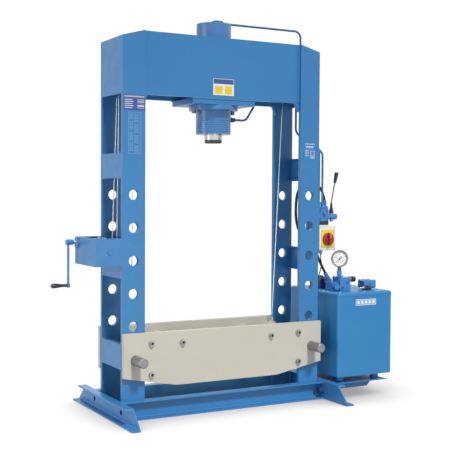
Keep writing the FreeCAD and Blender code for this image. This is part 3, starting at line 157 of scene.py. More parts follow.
def white_floor():
    """A floor that glows white to the camera and in reflections, with a painted shadow near the
    press.
    """
    material, tree, shader, place = finish("floor_white_painted_shadow")
    tree.links.new(two_tones(tree, noise(tree, place, 3), (0.42, 0.42, 0.42), (0.40, 0.40, 0.41)),
                   shader.inputs["Base Color"])
    shader.inputs["Roughness"].default_value = 0.8
    shade = tree.nodes.new("ShaderNodeAmbientOcclusion")
    shade.samples = 16
    shade.inputs["Distance"].default_value = 0.42
    painted_glow, rays, mix = (tree.nodes.new("ShaderNode" + kind)
                      for kind in ("Emission", "LightPath", "MixShader"))
    # Painted shadow: the glow's colour runs from grey close under the press to white further off.
    tree.links.new(two_tones(tree, spread(tree, shade.outputs["AO"], 0, 1, 0.2, 0.93),
                             (0.34, 0.34, 0.36), (1.0, 1.0, 1.0)), painted_glow.inputs["Color"])
    painted_glow.inputs["Strength"].default_value = ROOM_WHITE
    tree.links.new(seen_rays(tree.nodes, tree.links, rays), mix.inputs[0])
    tree.links.new(shader.outputs["BSDF"], mix.inputs[1])
    tree.links.new(painted_glow.outputs["Emission"], mix.inputs[2])
    tree.links.new(mix.outputs["Shader"], tree.nodes["Material Output"].inputs["Surface"])
    return material


# --- finishes ------------------------------------------------------------------------------

def finish(name):
    """A new material with its node tree, its shader and its Object coordinates."""
    material = bpy.data.materials.new(name)
    material.use_nodes = True
    tree = material.node_tree
    shader = tree.nodes["Principled BSDF"]
    place = tree.nodes.new("ShaderNodeTexCoord").outputs["Object"]
    return material, tree, shader, place


def noise(tree, place, scale, detail=3.0, stretch=None):
    """Noise over the piece; stretch scales X, Y and Z for brushed or drawn grain."""
    if stretch:
        mapping = tree.nodes.new("ShaderNodeMapping")
        mapping.inputs["Scale"].default_value = stretch
        tree.links.new(place, mapping.inputs["Vector"])
        place = mapping.outputs["Vector"]
    field = tree.nodes.new("ShaderNodeTexNoise")
    field.inputs["Scale"].default_value = scale
    field.inputs["Detail"].default_value = detail
    tree.links.new(place, field.inputs["Vector"])
    return field.outputs["Fac"]


def spread(tree, value, low, high, start=0.3, end=0.7):
    """A value stretched from its usual range to low..high."""
    ramp = tree.nodes.new("ShaderNodeMapRange")
    for socket, number in (("From Min", start), ("From Max", end), ("To Min", low),
                           ("To Max", high)):
        ramp.inputs[socket].default_value = number
    tree.links.new(value, ramp.inputs["Value"])
    return ramp.outputs["Result"]


def two_tones(tree, value, first, second):
    """A colour between two, by a value."""
    mix = tree.nodes.new("ShaderNodeMix")
    mix.data_type = "RGBA"
    mix.inputs["A"].default_value = (*first, 1)
    mix.inputs["B"].default_value = (*second, 1)
    tree.links.new(value, mix.inputs["Factor"])
    return mix.outputs["Result"]


def eased_edges(tree, radius):
    """Normals that round a piece's edges by a radius in metres, or nothing."""
    if not radius:
        return None
    soft = tree.nodes.new("ShaderNodeBevel")
    soft.samples = 4
    soft.inputs["Radius"].default_value = radius
    return soft.outputs["Normal"]


def raise_surface(tree, shader, value, strength, distance, below=None):
    """Bumps from a value, over the normals below them."""
    bump = tree.nodes.new("ShaderNodeBump")
    bump.inputs["Strength"].default_value = strength
    bump.inputs["Distance"].default_value = distance
    tree.links.new(value, bump.inputs["Height"])
    if below is not None:
        tree.links.new(below, bump.inputs["Normal"])
    tree.links.new(bump.outputs["Normal"], shader.inputs["Normal"])


def painted(name, base, shade, rough, grain=240.0, bump=0.12, coat=0.0, edge=0.0):
    """Sprayed paint: slow drifts of tone, uneven gloss and a fine orange peel."""
    material, tree, shader, place = finish(name)
    tree.links.new(two_tones(tree, spread(tree, noise(tree, place, 2.2), 0, 1), base, shade),
                   shader.inputs["Base Color"])
    tree.links.new(spread(tree, noise(tree, place, 14), rough - 0.05, rough + 0.06),
                   shader.inputs["Roughness"])
    shader.inputs["Coat Weight"].default_value = coat
    shader.inputs["Coat Roughness"].default_value = 0.2
    raise_surface(tree, shader, noise(tree, place, grain, 2), bump, 0.001, eased_edges(tree, edge))
    return material


def metal(name, base, shade, rough, stretch=None, grain=120.0, bump=0.1, edge=0.0, painted_reflection_streaks=None):
    """Bare metal with a turned, ground or cast grain; a stretch may draw its tones into streaks of
    painted reflection.
    """
    material, tree, shader, place = finish(name)
    shader.inputs["Metallic"].default_value = 1.0
    grainy = noise(tree, place, grain, 3, stretch)
    tones = spread(tree, noise(tree, place, 9, 3, painted_reflection_streaks), 0, 1)
    tree.links.new(two_tones(tree, tones, base, shade), shader.inputs["Base Color"])
    tree.links.new(spread(tree, grainy, rough - 0.07, rough + 0.09), shader.inputs["Roughness"])
    raise_surface(tree, shader, grainy, bump, 0.0006, eased_edges(tree, edge))
    return material


def moulded(name, base, shade, rough, grain=500.0, bump=0.15):
    """Moulded plastic or rubber with a fine texture."""
    material, tree, shader, place = finish(name)
    tree.links.new(two_tones(tree, spread(tree, noise(tree, place, 25), 0, 1), base, shade),
                   shader.inputs["Base Color"])
    tree.links.new(spread(tree, noise(tree, place, 60), rough - 0.06, rough + 0.08),
                   shader.inputs["Roughness"])
    raise_surface(tree, shader, noise(tree, place, grain, 2), bump, 0.0004)
    return material


FRAME_BLUE = painted("frame_paint", (0.030, 0.196, 0.442), (0.036, 0.211, 0.467), 0.4,
                     coat=0.06, edge=0.0015)
TANK_BLUE = painted("tank_paint", (0.016, 0.204, 0.455), (0.021, 0.218, 0.479), 0.4,
                    coat=0.06, edge=0.0015)
CYLINDER_BLUE = painted("cylinder_paint", (0.038, 0.190, 0.440), (0.045, 0.205, 0.465), 0.34,
                        bump=0.03, coat=0.5, edge=0.001)
VALVE_BLUE = painted("valve_paint", (0.018, 0.190, 0.480), (0.028, 0.215, 0.520), 0.28,
                     grain=320, bump=0.25, coat=0.4, edge=0.001)
MOTOR_BLUE = painted("motor_paint", (0.020, 0.045, 0.165), (0.03, 0.065, 0.20), 0.38, grain=320,
                     bump=0.25, edge=0.001)
# Dark navy paint that is painted shade, for fittings and bushes that stand in shadow.
PAINTED_SHADE_BLUE = painted("painted_shade_fitting_paint", (0.012, 0.045, 0.130), (0.018, 0.06, 0.16), 0.32, grain=320,
                    bump=0.2, edge=0.0008)
PIPE_BLUE = painted("pipe_paint", (0.035, 0.150, 0.360), (0.045, 0.170, 0.390), 0.3, grain=320)
WELD = painted("weld_paint", (0.058, 0.225, 0.480), (0.068, 0.245, 0.505), 0.36, grain=160,
               bump=0.5, coat=0.2)
BED_CREAM = painted("bed_paint", (0.545, 0.530, 0.435), (0.570, 0.555, 0.460), 0.42,
                    edge=0.0015)
LIGHT_STEEL = metal("turned_steel", (0.30, 0.295, 0.30), (0.23, 0.226, 0.23), 0.34,
                    stretch=(1, 60, 1), grain=6, bump=0.2, edge=0.001)
DARK_STEEL = metal("dark_steel", (0.20, 0.20, 0.21), (0.14, 0.14, 0.15), 0.42, grain=180,
                   edge=0.0008)
# Chrome: its light and dark vertical streaks are painted reflections of a room.
CHROME = metal("hard_chrome", (0.88, 0.89, 0.90), (0.16, 0.17, 0.18), 0.12,
               stretch=(1, 1, 40), grain=8, bump=0.05, painted_reflection_streaks=(2.2, 2.2, 0.05))
# Blacked steel, also used as painted shade in some screw sockets.
BLACKED_AND_SOCKET_SHADE = metal("blacked_tip_and_socket_shade", (0.05, 0.05, 0.05), (0.08, 0.08, 0.08), 0.38, grain=150,
                edge=0.001)
BRONZE = metal("bronze", (0.42, 0.34, 0.22), (0.34, 0.27, 0.17), 0.35)
ZINC = metal("zinc", (0.62, 0.63, 0.64), (0.50, 0.51, 0.53), 0.33, grain=90, edge=0.0006)
WIRE = metal("wire_rope", (0.66, 0.66, 0.65), (0.52, 0.52, 0.52), 0.38, grain=400)
PALE_ZINC = metal("pale_zinc", (0.50, 0.495, 0.47), (0.43, 0.425, 0.41), 0.6, grain=150)
BOLT_GREY = metal("bolt_grey", (0.36, 0.36, 0.35), (0.28, 0.28, 0.27), 0.55, grain=150,
                  edge=0.0008)
STAINLESS = metal("gauge_steel", (0.27, 0.27, 0.28), (0.2, 0.2, 0.21), 0.28, grain=220)
BLACK = moulded("black_plastic", (0.016, 0.016, 0.017), (0.026, 0.026, 0.027), 0.42)
RUBBER = moulded("black_rubber", (0.014, 0.014, 0.015), (0.024, 0.024, 0.024), 0.62, grain=260,
                 bump=0.3)
WHITE = moulded("white_plastic", (0.80, 0.80, 0.77), (0.74, 0.74, 0.71), 0.45)
YELLOW = moulded("yellow_plate", (0.83, 0.66, 0.02), (0.78, 0.60, 0.02), 0.4)
RED = moulded("red_plastic", (0.36, 0.016, 0.017), (0.29, 0.013, 0.014), 0.36)
LABEL_WHITE = moulded("label_white", (0.84, 0.85, 0.86), (0.78, 0.79, 0.81), 0.35)
LABEL_BLUE = moulded("label_blue", (0.045, 0.085, 0.30), (0.055, 0.10, 0.34), 0.35)
LABEL_PALE = moulded("label_pale", (0.21, 0.37, 0.60), (0.25, 0.41, 0.64), 0.35)
LABEL_BRIGHT = moulded("label_bright", (0.035, 0.20, 0.52), (0.045, 0.22, 0.55), 0.35)
LABEL_GREY = moulded("label_grey", (0.45, 0.47, 0.50), (0.38, 0.40, 0.44), 0.4)
DIAL = moulded("dial_white", (0.88, 0.88, 0.88), (0.83, 0.83, 0.84), 0.5, grain=300, bump=0.03)
# Black dial print, also used as painted shade in the sockets of screws.
INK_AND_SOCKET_SHADE = moulded("dial_black_and_socket_shade", (0.02, 0.02, 0.022), (0.03, 0.03, 0.032), 0.5)


def clear_glass(name):
    """Thin glass that hardly bends the light, so that the dial is seen through it."""
    material, tree, shader, place = finish(name)
    shader.inputs["Base Color"].default_value = (0.96, 0.98, 0.98, 1)
    tree.links.new(spread(tree, noise(tree, place, 30), 0.02, 0.06), shader.inputs["Roughness"])
    shader.inputs["Transmission Weight"].default_value = 1.0
    shader.inputs["IOR"].default_value = 1.12
    shader.inputs["Alpha"].default_value = 0.25
    return material


GLASS = clear_glass("gauge_glass")

DRESS = {
    FRAME_BLUE: ["upright_front_left", "upright_rear_left", "upright_front_right",
                 "upright_rear_right", "head_front_plate", "head_rear_plate", "head_end_plates",
                 "load_plate", "cross_channels", "left_foot", "right_foot", "base_beams",
                 "winch_box", "tank_stand", "control_bracket", "crank_arm", "fittings"],
    CYLINDER_BLUE: ["cylinder_barrel", "cylinder_flange", "cylinder_cap"],
    BED_CREAM: ["bed_front_plate", "bed_rear_plate", "bed_spacers"],
    PIPE_BLUE: ["steel_pipes"],
    TANK_BLUE: ["oil_tank", "tank_cover"],
    VALVE_BLUE: ["valve_block", "control_valve"],
    MOTOR_BLUE: ["pump_motor"],
    LIGHT_STEEL: ["left_pin", "right_pin", "piston"],
    DARK_STEEL: ["frame_bolts", "gauge_pointer", "control_lever"],
    BLACKED_AND_SOCKET_SHADE: ["ram_tip"],
    CHROME: ["ram"],
    BRONZE: ["rod_gland"],
    ZINC: ["rope_drum", "crank_shaft", "sheave_axles", "front_left_sheave",
           "rear_left_sheave", "right_sheave"],
    BLACK: ["valve_shelf"],
}


def dress_nodes():
    """A finish for each CAD node that stays in sight."""
    for material, names in DRESS.items():
        for name in names:
            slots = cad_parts[name].data.materials
            if not slots:
                slots.append(material)
            for index in range(len(slots)):
                slots[index] = material


# --- cords ---------------------------------------------------------------------------------

ROPE_WIDTH, ROPE_LAY = 0.006, 0.042
HOSE_WIDTH, CABLE_WIDTH = 0.018, 0.007
RIGHT_ROUTE = [
    (-655.2, 99.7, 1018.3), (-609.9, 118.4, 2133), (-606.1, 120, 2228), (-511, 120, 2228),
    (514, 120, 2228), (609.4, 120, 2228), (604.7, 120, 2133), (525, 120, 515.3),
]
LEFT_ROUTE = [
    (-624.2, 99.7, 1018.3), (-608.7, 98.1, 2133), (-607.3, 98, 2228), (-511.6, 98, 2228),
    (-512.3, 98, 2133), (-525, 98, 515.3),
]
HOSE_ROUTE = [
    (806, -90, 1318), (796, -89, 1366), (767, -88, 1408), (721, -86, 1433), (670, -84, 1433),
    (624, -81, 1408), (595, -78, 1366), (586, -76, 1290), (588, -73, 1205), (606, -70, 1128),
    (646, -67, 1082), (706, -63, 1056), (757, -60, 990), (788, -60, 905), (838, -60, 822),
]
CABLE_ROUTE = [
    (746, -140, 953), (746, -140, 926), (763, -126, 890), (783, -88, 848), (780, -58, 790),
    (789, -12, 762), (823.2, 22.2, 760),
]
CRANK_Y, CRANK_Z = 140, 1056
DRUM_Z = 1018
GEAR_SPACING = 90
DRUM_Y = CRANK_Y - math.sqrt(GEAR_SPACING ** 2 - (DRUM_Z - CRANK_Z) ** 2)
WINDING_RADIUS, WINDING_PITCH, WINDING_TURNS = 41.3, 6.6, 2


def spline_of(name, points, thickness=0.0, sides=3):
    """A smooth open line whose control points are the cord's route."""
    curve = bpy.data.curves.new(name, "CURVE")
    curve.dimensions = "3D"
    curve.resolution_u = 12
    line = curve.splines.new("NURBS")
    line.points.add(len(points) - 1)
    for point, place in zip(line.points, points):
        point.co = (*at(*place), 1)
    line.order_u = 3
    line.use_endpoint_u = True
    curve.bevel_depth = thickness
    curve.bevel_resolution = sides
    curve.use_fill_caps = True
    cord = bpy.data.objects.new(name, curve)
    scene.collection.objects.link(cord)
    return cord


def points_on(route, steps=24):
    """Points read from a route's smooth line."""
    line = spline_of("reading", route)
    line.data.resolution_u = steps
    bpy.context.view_layer.update()
    mesh = bpy.data.meshes.new_from_object(line)
    points = [vertex.co.copy() for vertex in mesh.vertices]
    bpy.data.meshes.remove(mesh)
    bpy.data.objects.remove(line)
    return points


def evenly(points, step):
    """The same line with its points no more than a step apart."""
    kept = [points[0]]
    for start, end in zip(points, points[1:]):
        count = max(1, math.ceil((end - start).length / step))
        for number in range(1, count + 1):
            kept.append(start.lerp(end, number / count))
    return kept


def rope_section(name):
    """The outline of six strands: every third point of the ring lies in a groove."""
    section = bpy.data.curves.new(name, "CURVE")
    section.dimensions = "2D"
    outline = section.splines.new("POLY")
    count = 18
    outline.points.add(count - 1)
    for number, point in enumerate(outline.points):
        angle = 2 * math.pi * number / count
        reach = ROPE_WIDTH / 2 * (1.0 if number % 3 else 0.76)
        point.co = (reach * math.cos(angle), reach * math.sin(angle), 0, 1)
    outline.use_cyclic_u = True
    shape = bpy.data.objects.new(name, section)
    scene.collection.objects.link(shape)
    return shape


def stranded(name, points):
    """A wire rope whose strands turn round the line once in each lay."""
    shape = rope_section(name + "_section")
    curve = bpy.data.curves.new(name, "CURVE")
    curve.dimensions = "3D"
    curve.twist_mode = "MINIMUM"
    line = curve.splines.new("POLY")
    line.points.add(len(points) - 1)
    run = 0.0
    for number, (point, place) in enumerate(zip(line.points, points)):
        if number:
            run += (place - points[number - 1]).length
        point.co = (*place, 1)
        point.tilt = 2 * math.pi * run / ROPE_LAY
    curve.bevel_mode = "OBJECT"
    curve.bevel_object = shape
    curve.use_fill_caps = True
    maker = bpy.data.objects.new(name + "_maker", curve)
    scene.collection.objects.link(maker)
    graph = bpy.context.evaluated_depsgraph_get()
    mesh = bpy.data.meshes.new_from_object(maker.evaluated_get(graph))
    for thing in (maker, shape):
        bpy.data.objects.remove(thing)
    for face in mesh.polygons:
        face.use_smooth = True
    mesh.name = name
    rope = bpy.data.objects.new(name, mesh)
    scene.collection.objects.link(rope)
    mesh.materials.clear()
    mesh.materials.append(WIRE)
    return rope


def run_length(points):
    return sum((end - start).length for start, end in zip(points, points[1:]))


def taut_rope(name, route):
    """A rope pulled straight between its sheaves, in place of the CAD's plain bar."""
    points = points_on(route)
    rope = stranded(name + "_strands", evenly(points, 0.0055))
    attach(rope, "press")
    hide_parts(name)


def hung_cord(name, route, diameter):
    """A rubber hose or cable that hangs between its two ends."""
    cord = spline_of(name + "_run", route, diameter / 2, 5)
    cord.data.materials.append(RUBBER)
    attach(cord, "press")
    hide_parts(name)
    run_length(points_on(route))


def winding_route(exit_x):
    """Turns on the drum up to the rope's exit, with corners that keep the line on its radius."""
    per_turn = 16
    last = WINDING_TURNS * per_turn
    corner = WINDING_RADIUS / math.cos(math.pi / per_turn)
    route = []
    for step in range(last + 1):
        turned = step / per_turn - WINDING_TURNS
        angle = 2 * math.pi * turned
        reach = corner if 0 < step < last else WINDING_RADIUS
        route.append((exit_x - WINDING_PITCH * turned, DRUM_Y + reach * math.cos(angle),
                      DRUM_Z + reach * math.sin(angle)))
    return route


def wound_ropes():
    """Both ropes' turns on the drum, each read from one smooth line."""
    form = bmesh.new()
    for number, route in enumerate((RIGHT_ROUTE, LEFT_ROUTE)):
        points = points_on(winding_route(route[0][0]), 6)
        rope = stranded("winding_%d" % number, evenly(points, 0.004))
        form.from_mesh(rope.data)
        bpy.data.objects.remove(rope)
    return form


def make_cords():
    taut_rope("right_rope", RIGHT_ROUTE)
    taut_rope("left_rope", LEFT_ROUTE)
    hung_cord("valve_hose", HOSE_ROUTE, HOSE_WIDTH)
    hung_cord("switch_cable", CABLE_ROUTE, CABLE_WIDTH)
    settle("wound_ropes", wound_ropes(), [WIRE], "drum", "wire_rope", "drum_windings")


# --- making pieces -------------------------------------------------------------------------

def settle(name, form, materials, body, slot, *stands_for, crease=35):
    """Turn a form into a piece of the press that moves with a body."""
    bmesh.ops.remove_doubles(form, verts=form.verts, dist=0.00001)
    for face in form.faces:
        face.smooth = True
    mesh = bpy.data.meshes.new(name)
    form.to_mesh(mesh)
    form.free()
    mesh.set_sharp_from_angle(angle=math.radians(crease))
    for material in materials:
        mesh.materials.append(material)
    thing = bpy.data.objects.new(name, mesh)
    scene.collection.objects.link(thing)
    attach(thing, body)
    if stands_for:
        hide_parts(*stands_for)


def seat(x, y, z, way=UP, spin=0.0):
    """A place for a shape, with its own Z laid along a way."""
    lean = Vector(UP).rotation_difference(Vector(way)).to_matrix().to_4x4()
    return AXIS @ Matrix.Translation((x, y, z)) @ lean @ Matrix.Rotation(spin, 4, "Z")


def add(form, shape, place, finish_number=0):
    """Put a shape made in millimetres about its own origin into the form."""
    bmesh.ops.recalc_face_normals(shape, faces=shape.faces)
    bmesh.ops.transform(shape, matrix=place, verts=shape.verts)
    for face in shape.faces:
        face.material_index = finish_number
    mesh = bpy.data.meshes.new("shape")
    shape.to_mesh(mesh)
    shape.free()
    form.from_mesh(mesh)
    bpy.data.meshes.remove(mesh)


def from_curve(name, data):
    """A form from a curve or text, whose maker is taken away again."""
    maker = bpy.data.objects.new(name, data)
    scene.collection.objects.link(maker)
    bpy.context.view_layer.update()
    mesh = bpy.data.meshes.new_from_object(maker)
    bpy.data.objects.remove(maker)
    form = bmesh.new()
    form.from_mesh(mesh)
    bpy.data.meshes.remove(mesh)
    return form


def lathe(outline, steps=48):
    """A turned shape from its outline of radii and heights."""
    shape = bmesh.new()
    corners = [shape.verts.new((radius, 0, height)) for radius, height in outline]
    edges = [shape.edges.new(pair) for pair in zip(corners, corners[1:])]
    bmesh.ops.spin(shape, geom=corners + edges, cent=(0, 0, 0), axis=UP, dvec=(0, 0, 0),
                   angle=2 * math.pi, steps=steps, use_merge=True)
    bmesh.ops.remove_doubles(shape, verts=shape.verts, dist=0.001)
    return shape


def slab(length, width, height, edge=0.0, segments=2):
    """A box centred on its own Z axis, from its foot up."""
    shape = bmesh.new()
    bmesh.ops.create_cube(shape, size=1)
    bmesh.ops.scale(shape, vec=(length, width, height), verts=shape.verts)
    bmesh.ops.translate(shape, vec=(0, 0, height / 2), verts=shape.verts)
    if edge:
        bmesh.ops.bevel(shape, geom=shape.edges[:], offset=edge, affect="EDGES",
                        segments=segments, profile=0.5, material=-1)
    return shape


def hexagon(radius, height, edge, sides=6):
    """A hexagon, or a bar of other sides, with its rims broken."""
    shape = bmesh.new()
    bmesh.ops.create_cone(shape, cap_ends=True, segments=sides, radius1=radius, radius2=radius,
                          depth=height)
    bmesh.ops.translate(shape, vec=(0, 0, height / 2), verts=shape.verts)
    rims = [line for line in shape.edges if abs(line.verts[0].co.z - line.verts[1].co.z) < 0.01]
    bmesh.ops.bevel(shape, geom=rims, offset=edge, affect="EDGES", segments=1, profile=0.5,
                    material=-1)
    return shape


def cap_screw(form, x, y, z, way, radius, height, number=1, socket=2):
    """A socket head screw: rounded rim and a hexagon sunk in it, near black as painted shade."""
    hole = radius * 0.52
    add(form, lathe([(hole, height), (radius - 1, height), (radius, height - 1), (radius, 0)], 24),
        seat(x, y, z, way), number)
    cup = bmesh.new()
    bmesh.ops.create_circle(cup, cap_ends=True, segments=6, radius=hole * 1.02)
    bmesh.ops.inset_region(cup, faces=cup.faces[:], thickness=0.01, depth=-height * 0.5)
    bmesh.ops.translate(cup, vec=(0, 0, height), verts=cup.verts)
    add(form, cup, seat(x, y, z, way), socket)


def four(x, y, across, along):
    """The corners of a rectangle about its middle."""
    return [(x + i * across / 2, y + j * along / 2) for i in (-1, 1) for j in (-1, 1)]


def around(count, radius, start=0.0):
    """Angles spaced evenly round a circle, each with its place from the middle."""
    for number in range(count):
        angle = start + 2 * math.pi * number / count
        yield angle, radius * math.cos(angle), radius * math.sin(angle)


def bead(lines, radius, name):
    """Weld beads along straight lines."""
    curve = bpy.data.curves.new(name, "CURVE")
    curve.dimensions = "3D"
    for line in lines:
        places = evenly([at(*place) for place in line], 0.006)
        run = curve.splines.new("POLY")
        run.points.add(len(places) - 1)
        for number, (point, place) in enumerate(zip(run.points, places)):
            point.co = (*place, 1)
            point.radius = 1.0 + 0.10 * math.sin(number * 2.1) + 0.06 * math.sin(number * 0.7)
    curve.bevel_depth = radius / 1000
    curve.bevel_resolution = 1
    curve.use_fill_caps = True
    settle(name, from_curve(name, curve), [WELD], "press", "frame_paint", crease=80)


# --- frame and bed -------------------------------------------------------------------------

HEAD_FRONT, POST_FRONT, TANK_FRONT = -153, -178, -300


def make_welds():
    """Seams of the head on its posts and load plate, and of the channels in the posts."""
    seam, post_seam, channel_half = 154.5, 551, 77.5
    lines = []
    for side in (-1, 1):
        for y in (-seam, seam):
            lines.append([(side * post_seam, y, 1954), (side * post_seam, y, 2332)])
        for level in (374, 922, 1523):
            for y in (-151, 151):
                for x in (690, 668):
                    lines.append([(side * x, y, level + 77), (side * x, y, level + 78)])
                for z in (level + channel_half, level - channel_half):
                    lines.append([(side * 666, y, z), (side * 699, y, z)])
    for y in (-seam, seam):
        lines.append([(-225, y, 1950.5), (225, y, 1950.5)])
    bead(lines, 4, "frame_welds")


def make_labels():
    """Labels with plain bars and blocks where the real ones are printed."""
    form = bmesh.new()
    finishes = [LABEL_WHITE, LABEL_BLUE, LABEL_PALE, LABEL_GREY, YELLOW, LABEL_BRIGHT]
    white, blue, pale, grey, yellow, bright = range(len(finishes))
    layer = 0.3

    def field(x, y, z, wide, tall, number):
        add(form, slab(wide, tall, 0.5, 0.15, 1), seat(x, y, z, FRONT), number)

    def head_label(x, z):
        field(x, HEAD_FRONT, z, 148, 103, white)
        field(x, HEAD_FRONT - layer, z + 34, 142, 30, blue)
        for across in (-34, 34):
            field(x + across, HEAD_FRONT - layer, z - 19, 52, 50, yellow)

    def notice(x, z):
        """A blue field with a grey title and two columns of bars."""
        y = POST_FRONT - layer
        field(x, POST_FRONT, z, 138, 90, blue)
        field(x, y, z + 35, 130, 10, grey)
        for row in range(5):
            odd, level = row % 2, z + 16 - 12 * row
            field(x - 37 + 3 * odd, y, level, 50 + 6 * odd, 4, white)
            field(x + 41, y, level, 44, 7 - 2 * (row % 3), white if odd else grey)

    def table(x, z):
        """A thin frame round rows of pale bars."""
        for across in (-41, 41):
            field(x + across, POST_FRONT, z, 2, 246, pale)
        for rise in (-123, 123):
            field(x, POST_FRONT, z + rise, 84, 2, pale)
        for row in range(26):
            for column, (across, wide) in enumerate(((-23, 26), (10, 30), (33, 8))):
                if (row * 5 + column * 3) % 7:
                    field(x + across, POST_FRONT, z - 113 + 9 * row,
                          wide - (row * 3 + column) % 6, 3, pale)

    def plate(x, z):
        """A bright blue plate with bars and a grey picture field."""
        y = POST_FRONT - layer
        field(x, POST_FRONT, z, 86, 108, bright)
        for fall in (0, 16, 24):
            field(x, y, z + 52 - fall, 80 - fall, 3.5, white)
        for row in range(4):
            field(x - 21, y, z + 9 - 11 * row, 32, 3, white)
        field(x + 22, y, z - 18, 34, 52, grey)
        field(x + 22, y - layer, z - 10, 18, 26, bright)

    def tank_badge(x, z):
        field(x, TANK_FRONT, z, 166, 40, white)
        field(x, TANK_FRONT - layer, z, 158, 32, pale)
        for number in range(5):
            field(x - 62 + 31 * number, TANK_FRONT - 2 * layer, z, 20, 20, white)

    head_label(-8, 2026)
    notice(-625, 1898)
    table(-622, 1716)
    plate(625, 1636)
    tank_badge(1006, 637)
    settle("blank_labels", form, finishes, "press", "white_plastic")


def make_bolts():
    """Washers, socket screws and nuts of the bed's tie bolts."""
    form = bmesh.new()
    plate_face, washer = 211, 2.6
    spots = [(side * x, z) for side in (-1, 1) for x, z in ((525, 454), (525, 264), (317, 447))]
    for number, (x, z) in enumerate(spots):
        for way in (FRONT, BACK):
            outline = [(12, 0), (22, 0), (22.6, 0.6), (22.6, 2), (22, washer), (12, washer)]
            add(form, lathe(outline, 40), seat(x, way[1] * plate_face, z, way))
        cap_screw(form, x, -plate_face - washer, z, FRONT, 16, 15)
        add(form, hexagon(20, 17, 1.2), seat(x, plate_face + washer, z, BACK, 0.2 * number), 1)
        add(form, lathe([(0, 26), (10.5, 26), (12, 24.5), (12, 0)], 24),
            seat(x, plate_face + washer, z, BACK), 1)
    settle("tie_bolts", form, [PALE_ZINC, BOLT_GREY, INK_AND_SOCKET_SHADE], "press", "dark_steel", "bed_bolts")


def make_port_nuts():
    """Nuts and a union on the cylinder's lower port, in dark navy as painted shade."""
    form = bmesh.new()
    port = 1837
    add(form, lathe([(12, 0), (18.5, 0), (18.5, 3), (16.6, 5), (12, 5)], 40),
        seat(111, 0, port, RIGHT))
    add(form, hexagon(17, 26, 1.6), seat(116, 0, port, RIGHT, 0.3))
    add(form, hexagon(14.2, 17, 1.4), seat(141, 0, port, RIGHT, 0.1))
    settle("port_nuts", form, [PAINTED_SHADE_BLUE], "press", "cylinder_paint")


def make_foot_bushes():
    """Blind bushes behind the web holes of the feet, in dark navy as painted shade that keeps the
    holes dark.
    """
    form = bmesh.new()
    outline = [(17, 0), (20, 0), (20, 34), (0, 34), (0, 31), (17, 31), (17, 0)]
    for side, inward in ((-1, RIGHT), (1, LEFT)):
        for y in (-220, 220):
            add(form, lathe(outline, 32), seat(side * 716.8, y, 57.5, inward))
    settle("foot_bushes", form, [PAINTED_SHADE_BLUE], "press", "frame_paint")


# --- controls ------------------------------------------------------------------------------

def make_switch():
    """Isolator: a two-part white box with its screws, a yellow plate with its screws, and a cable
    gland.
    """
    form = bmesh.new()
    x, z = 773.5, 1064.5
    plate_x, plate_z = 773, 1062.5
    add(form, slab(131, 163, 60, 6, 3), seat(x, -100, z, FRONT))
    add(form, slab(131, 163, 21, 5, 3), seat(x, -158.6, z, FRONT))
    for across, level in four(x, z, 115, 147):
        cap_screw(form, across, -179.4, level, FRONT, 4.5, 1.5, 3, 4)
    add(form, slab(104, 119, 3.4, 1, 2), seat(plate_x, -179.4, plate_z, FRONT), 1)
    for across, level in four(plate_x, plate_z, 90, 105):
        cap_screw(form, across, -182.6, level, FRONT, 3.6, 1.6, 3, 4)
    gland = seat(746, -140, 983, DOWN)
    add(form, lathe([(0, 14), (12, 14), (13, 13), (13, 3), (15, 3), (15, -2), (0, -2)], 24),
        gland, 2)
    add(form, lathe([(0, 31), (4.2, 31), (6, 30), (11, 14), (0, 14)], 24), gland, 2)
    settle("switch_case", form, [WHITE, YELLOW, LABEL_GREY, ZINC, INK_AND_SOCKET_SHADE], "press",
           "white_plastic", "switch_box")


def make_switch_handle():
    """The isolator's round base with ribs round it, and the bar across it."""
    form = bmesh.new()
    x, z = 773, 1059
    base = [(0, 0), (42, 0), (42, 9), (41, 12), (37.5, 14), (26, 14.5), (0, 14.5)]
    add(form, lathe(base, 64), seat(x, -183.3, z, FRONT))
    bar = slab(20, 76, 24, 3, 3)
    for corner in bar.verts:
        if corner.co.z > 12:
            corner.co.x *= 0.72
            corner.co.y *= 0.94
    add(form, bar, seat(x, -196.3, z, FRONT))
    for _, across, rise in around(24, 41):
        add(form, hexagon(2.2, 10, 0.5, sides=8), seat(x + across, -183.4, z + rise, FRONT))
    add(form, slab(3, 22, 0.5), seat(x, -220.1, z + 21, FRONT), 1)
    settle("switch_handle", form, [RED, LABEL_WHITE], "switch", "red_plastic", "switch_knob")


def make_valve_details():
    """Screws, plugs and a pin on the faces of the spool valve."""
    form = bmesh.new()
    front, right = -150, 879
    y, z = -110, 1208
    for across, level in four(761, 1218.5, 60, 59):
        cap_screw(form, across, front, level, FRONT, 5, 5)
    add(form, hexagon(13, 9, 1.2), seat(766, front, 1228, FRONT, 0.4))
    add(form, lathe([(8, 9), (8, 13), (6.5, 14), (0, 14)], 24), seat(766, front, 1228, FRONT))
    for x in (748, 775):
        add(form, lathe([(10, 0), (11.5, 1), (11.5, 5), (9.3, 6), (9.3, 8)], 32), seat(x, y, 1257))
    add(form, lathe([(17, 0), (19.6, 1), (19.6, 6), (18, 8), (0, 8)], 40), seat(right, y, z, RIGHT))
    for _, across, rise in around(4, 13, math.pi / 4):
        cap_screw(form, right + 7.6, y + across, z + rise, RIGHT, 3.2, 3)
    add(form, lathe([(0, -10), (2.2, -10), (2.2, 16), (1.4, 17), (0, 17)], 16),
        seat(right - 7, y, z - 20, RIGHT), 3)
    settle("valve_fittings", form, [VALVE_BLUE, DARK_STEEL, INK_AND_SOCKET_SHADE, ZINC], "press", "valve_paint")


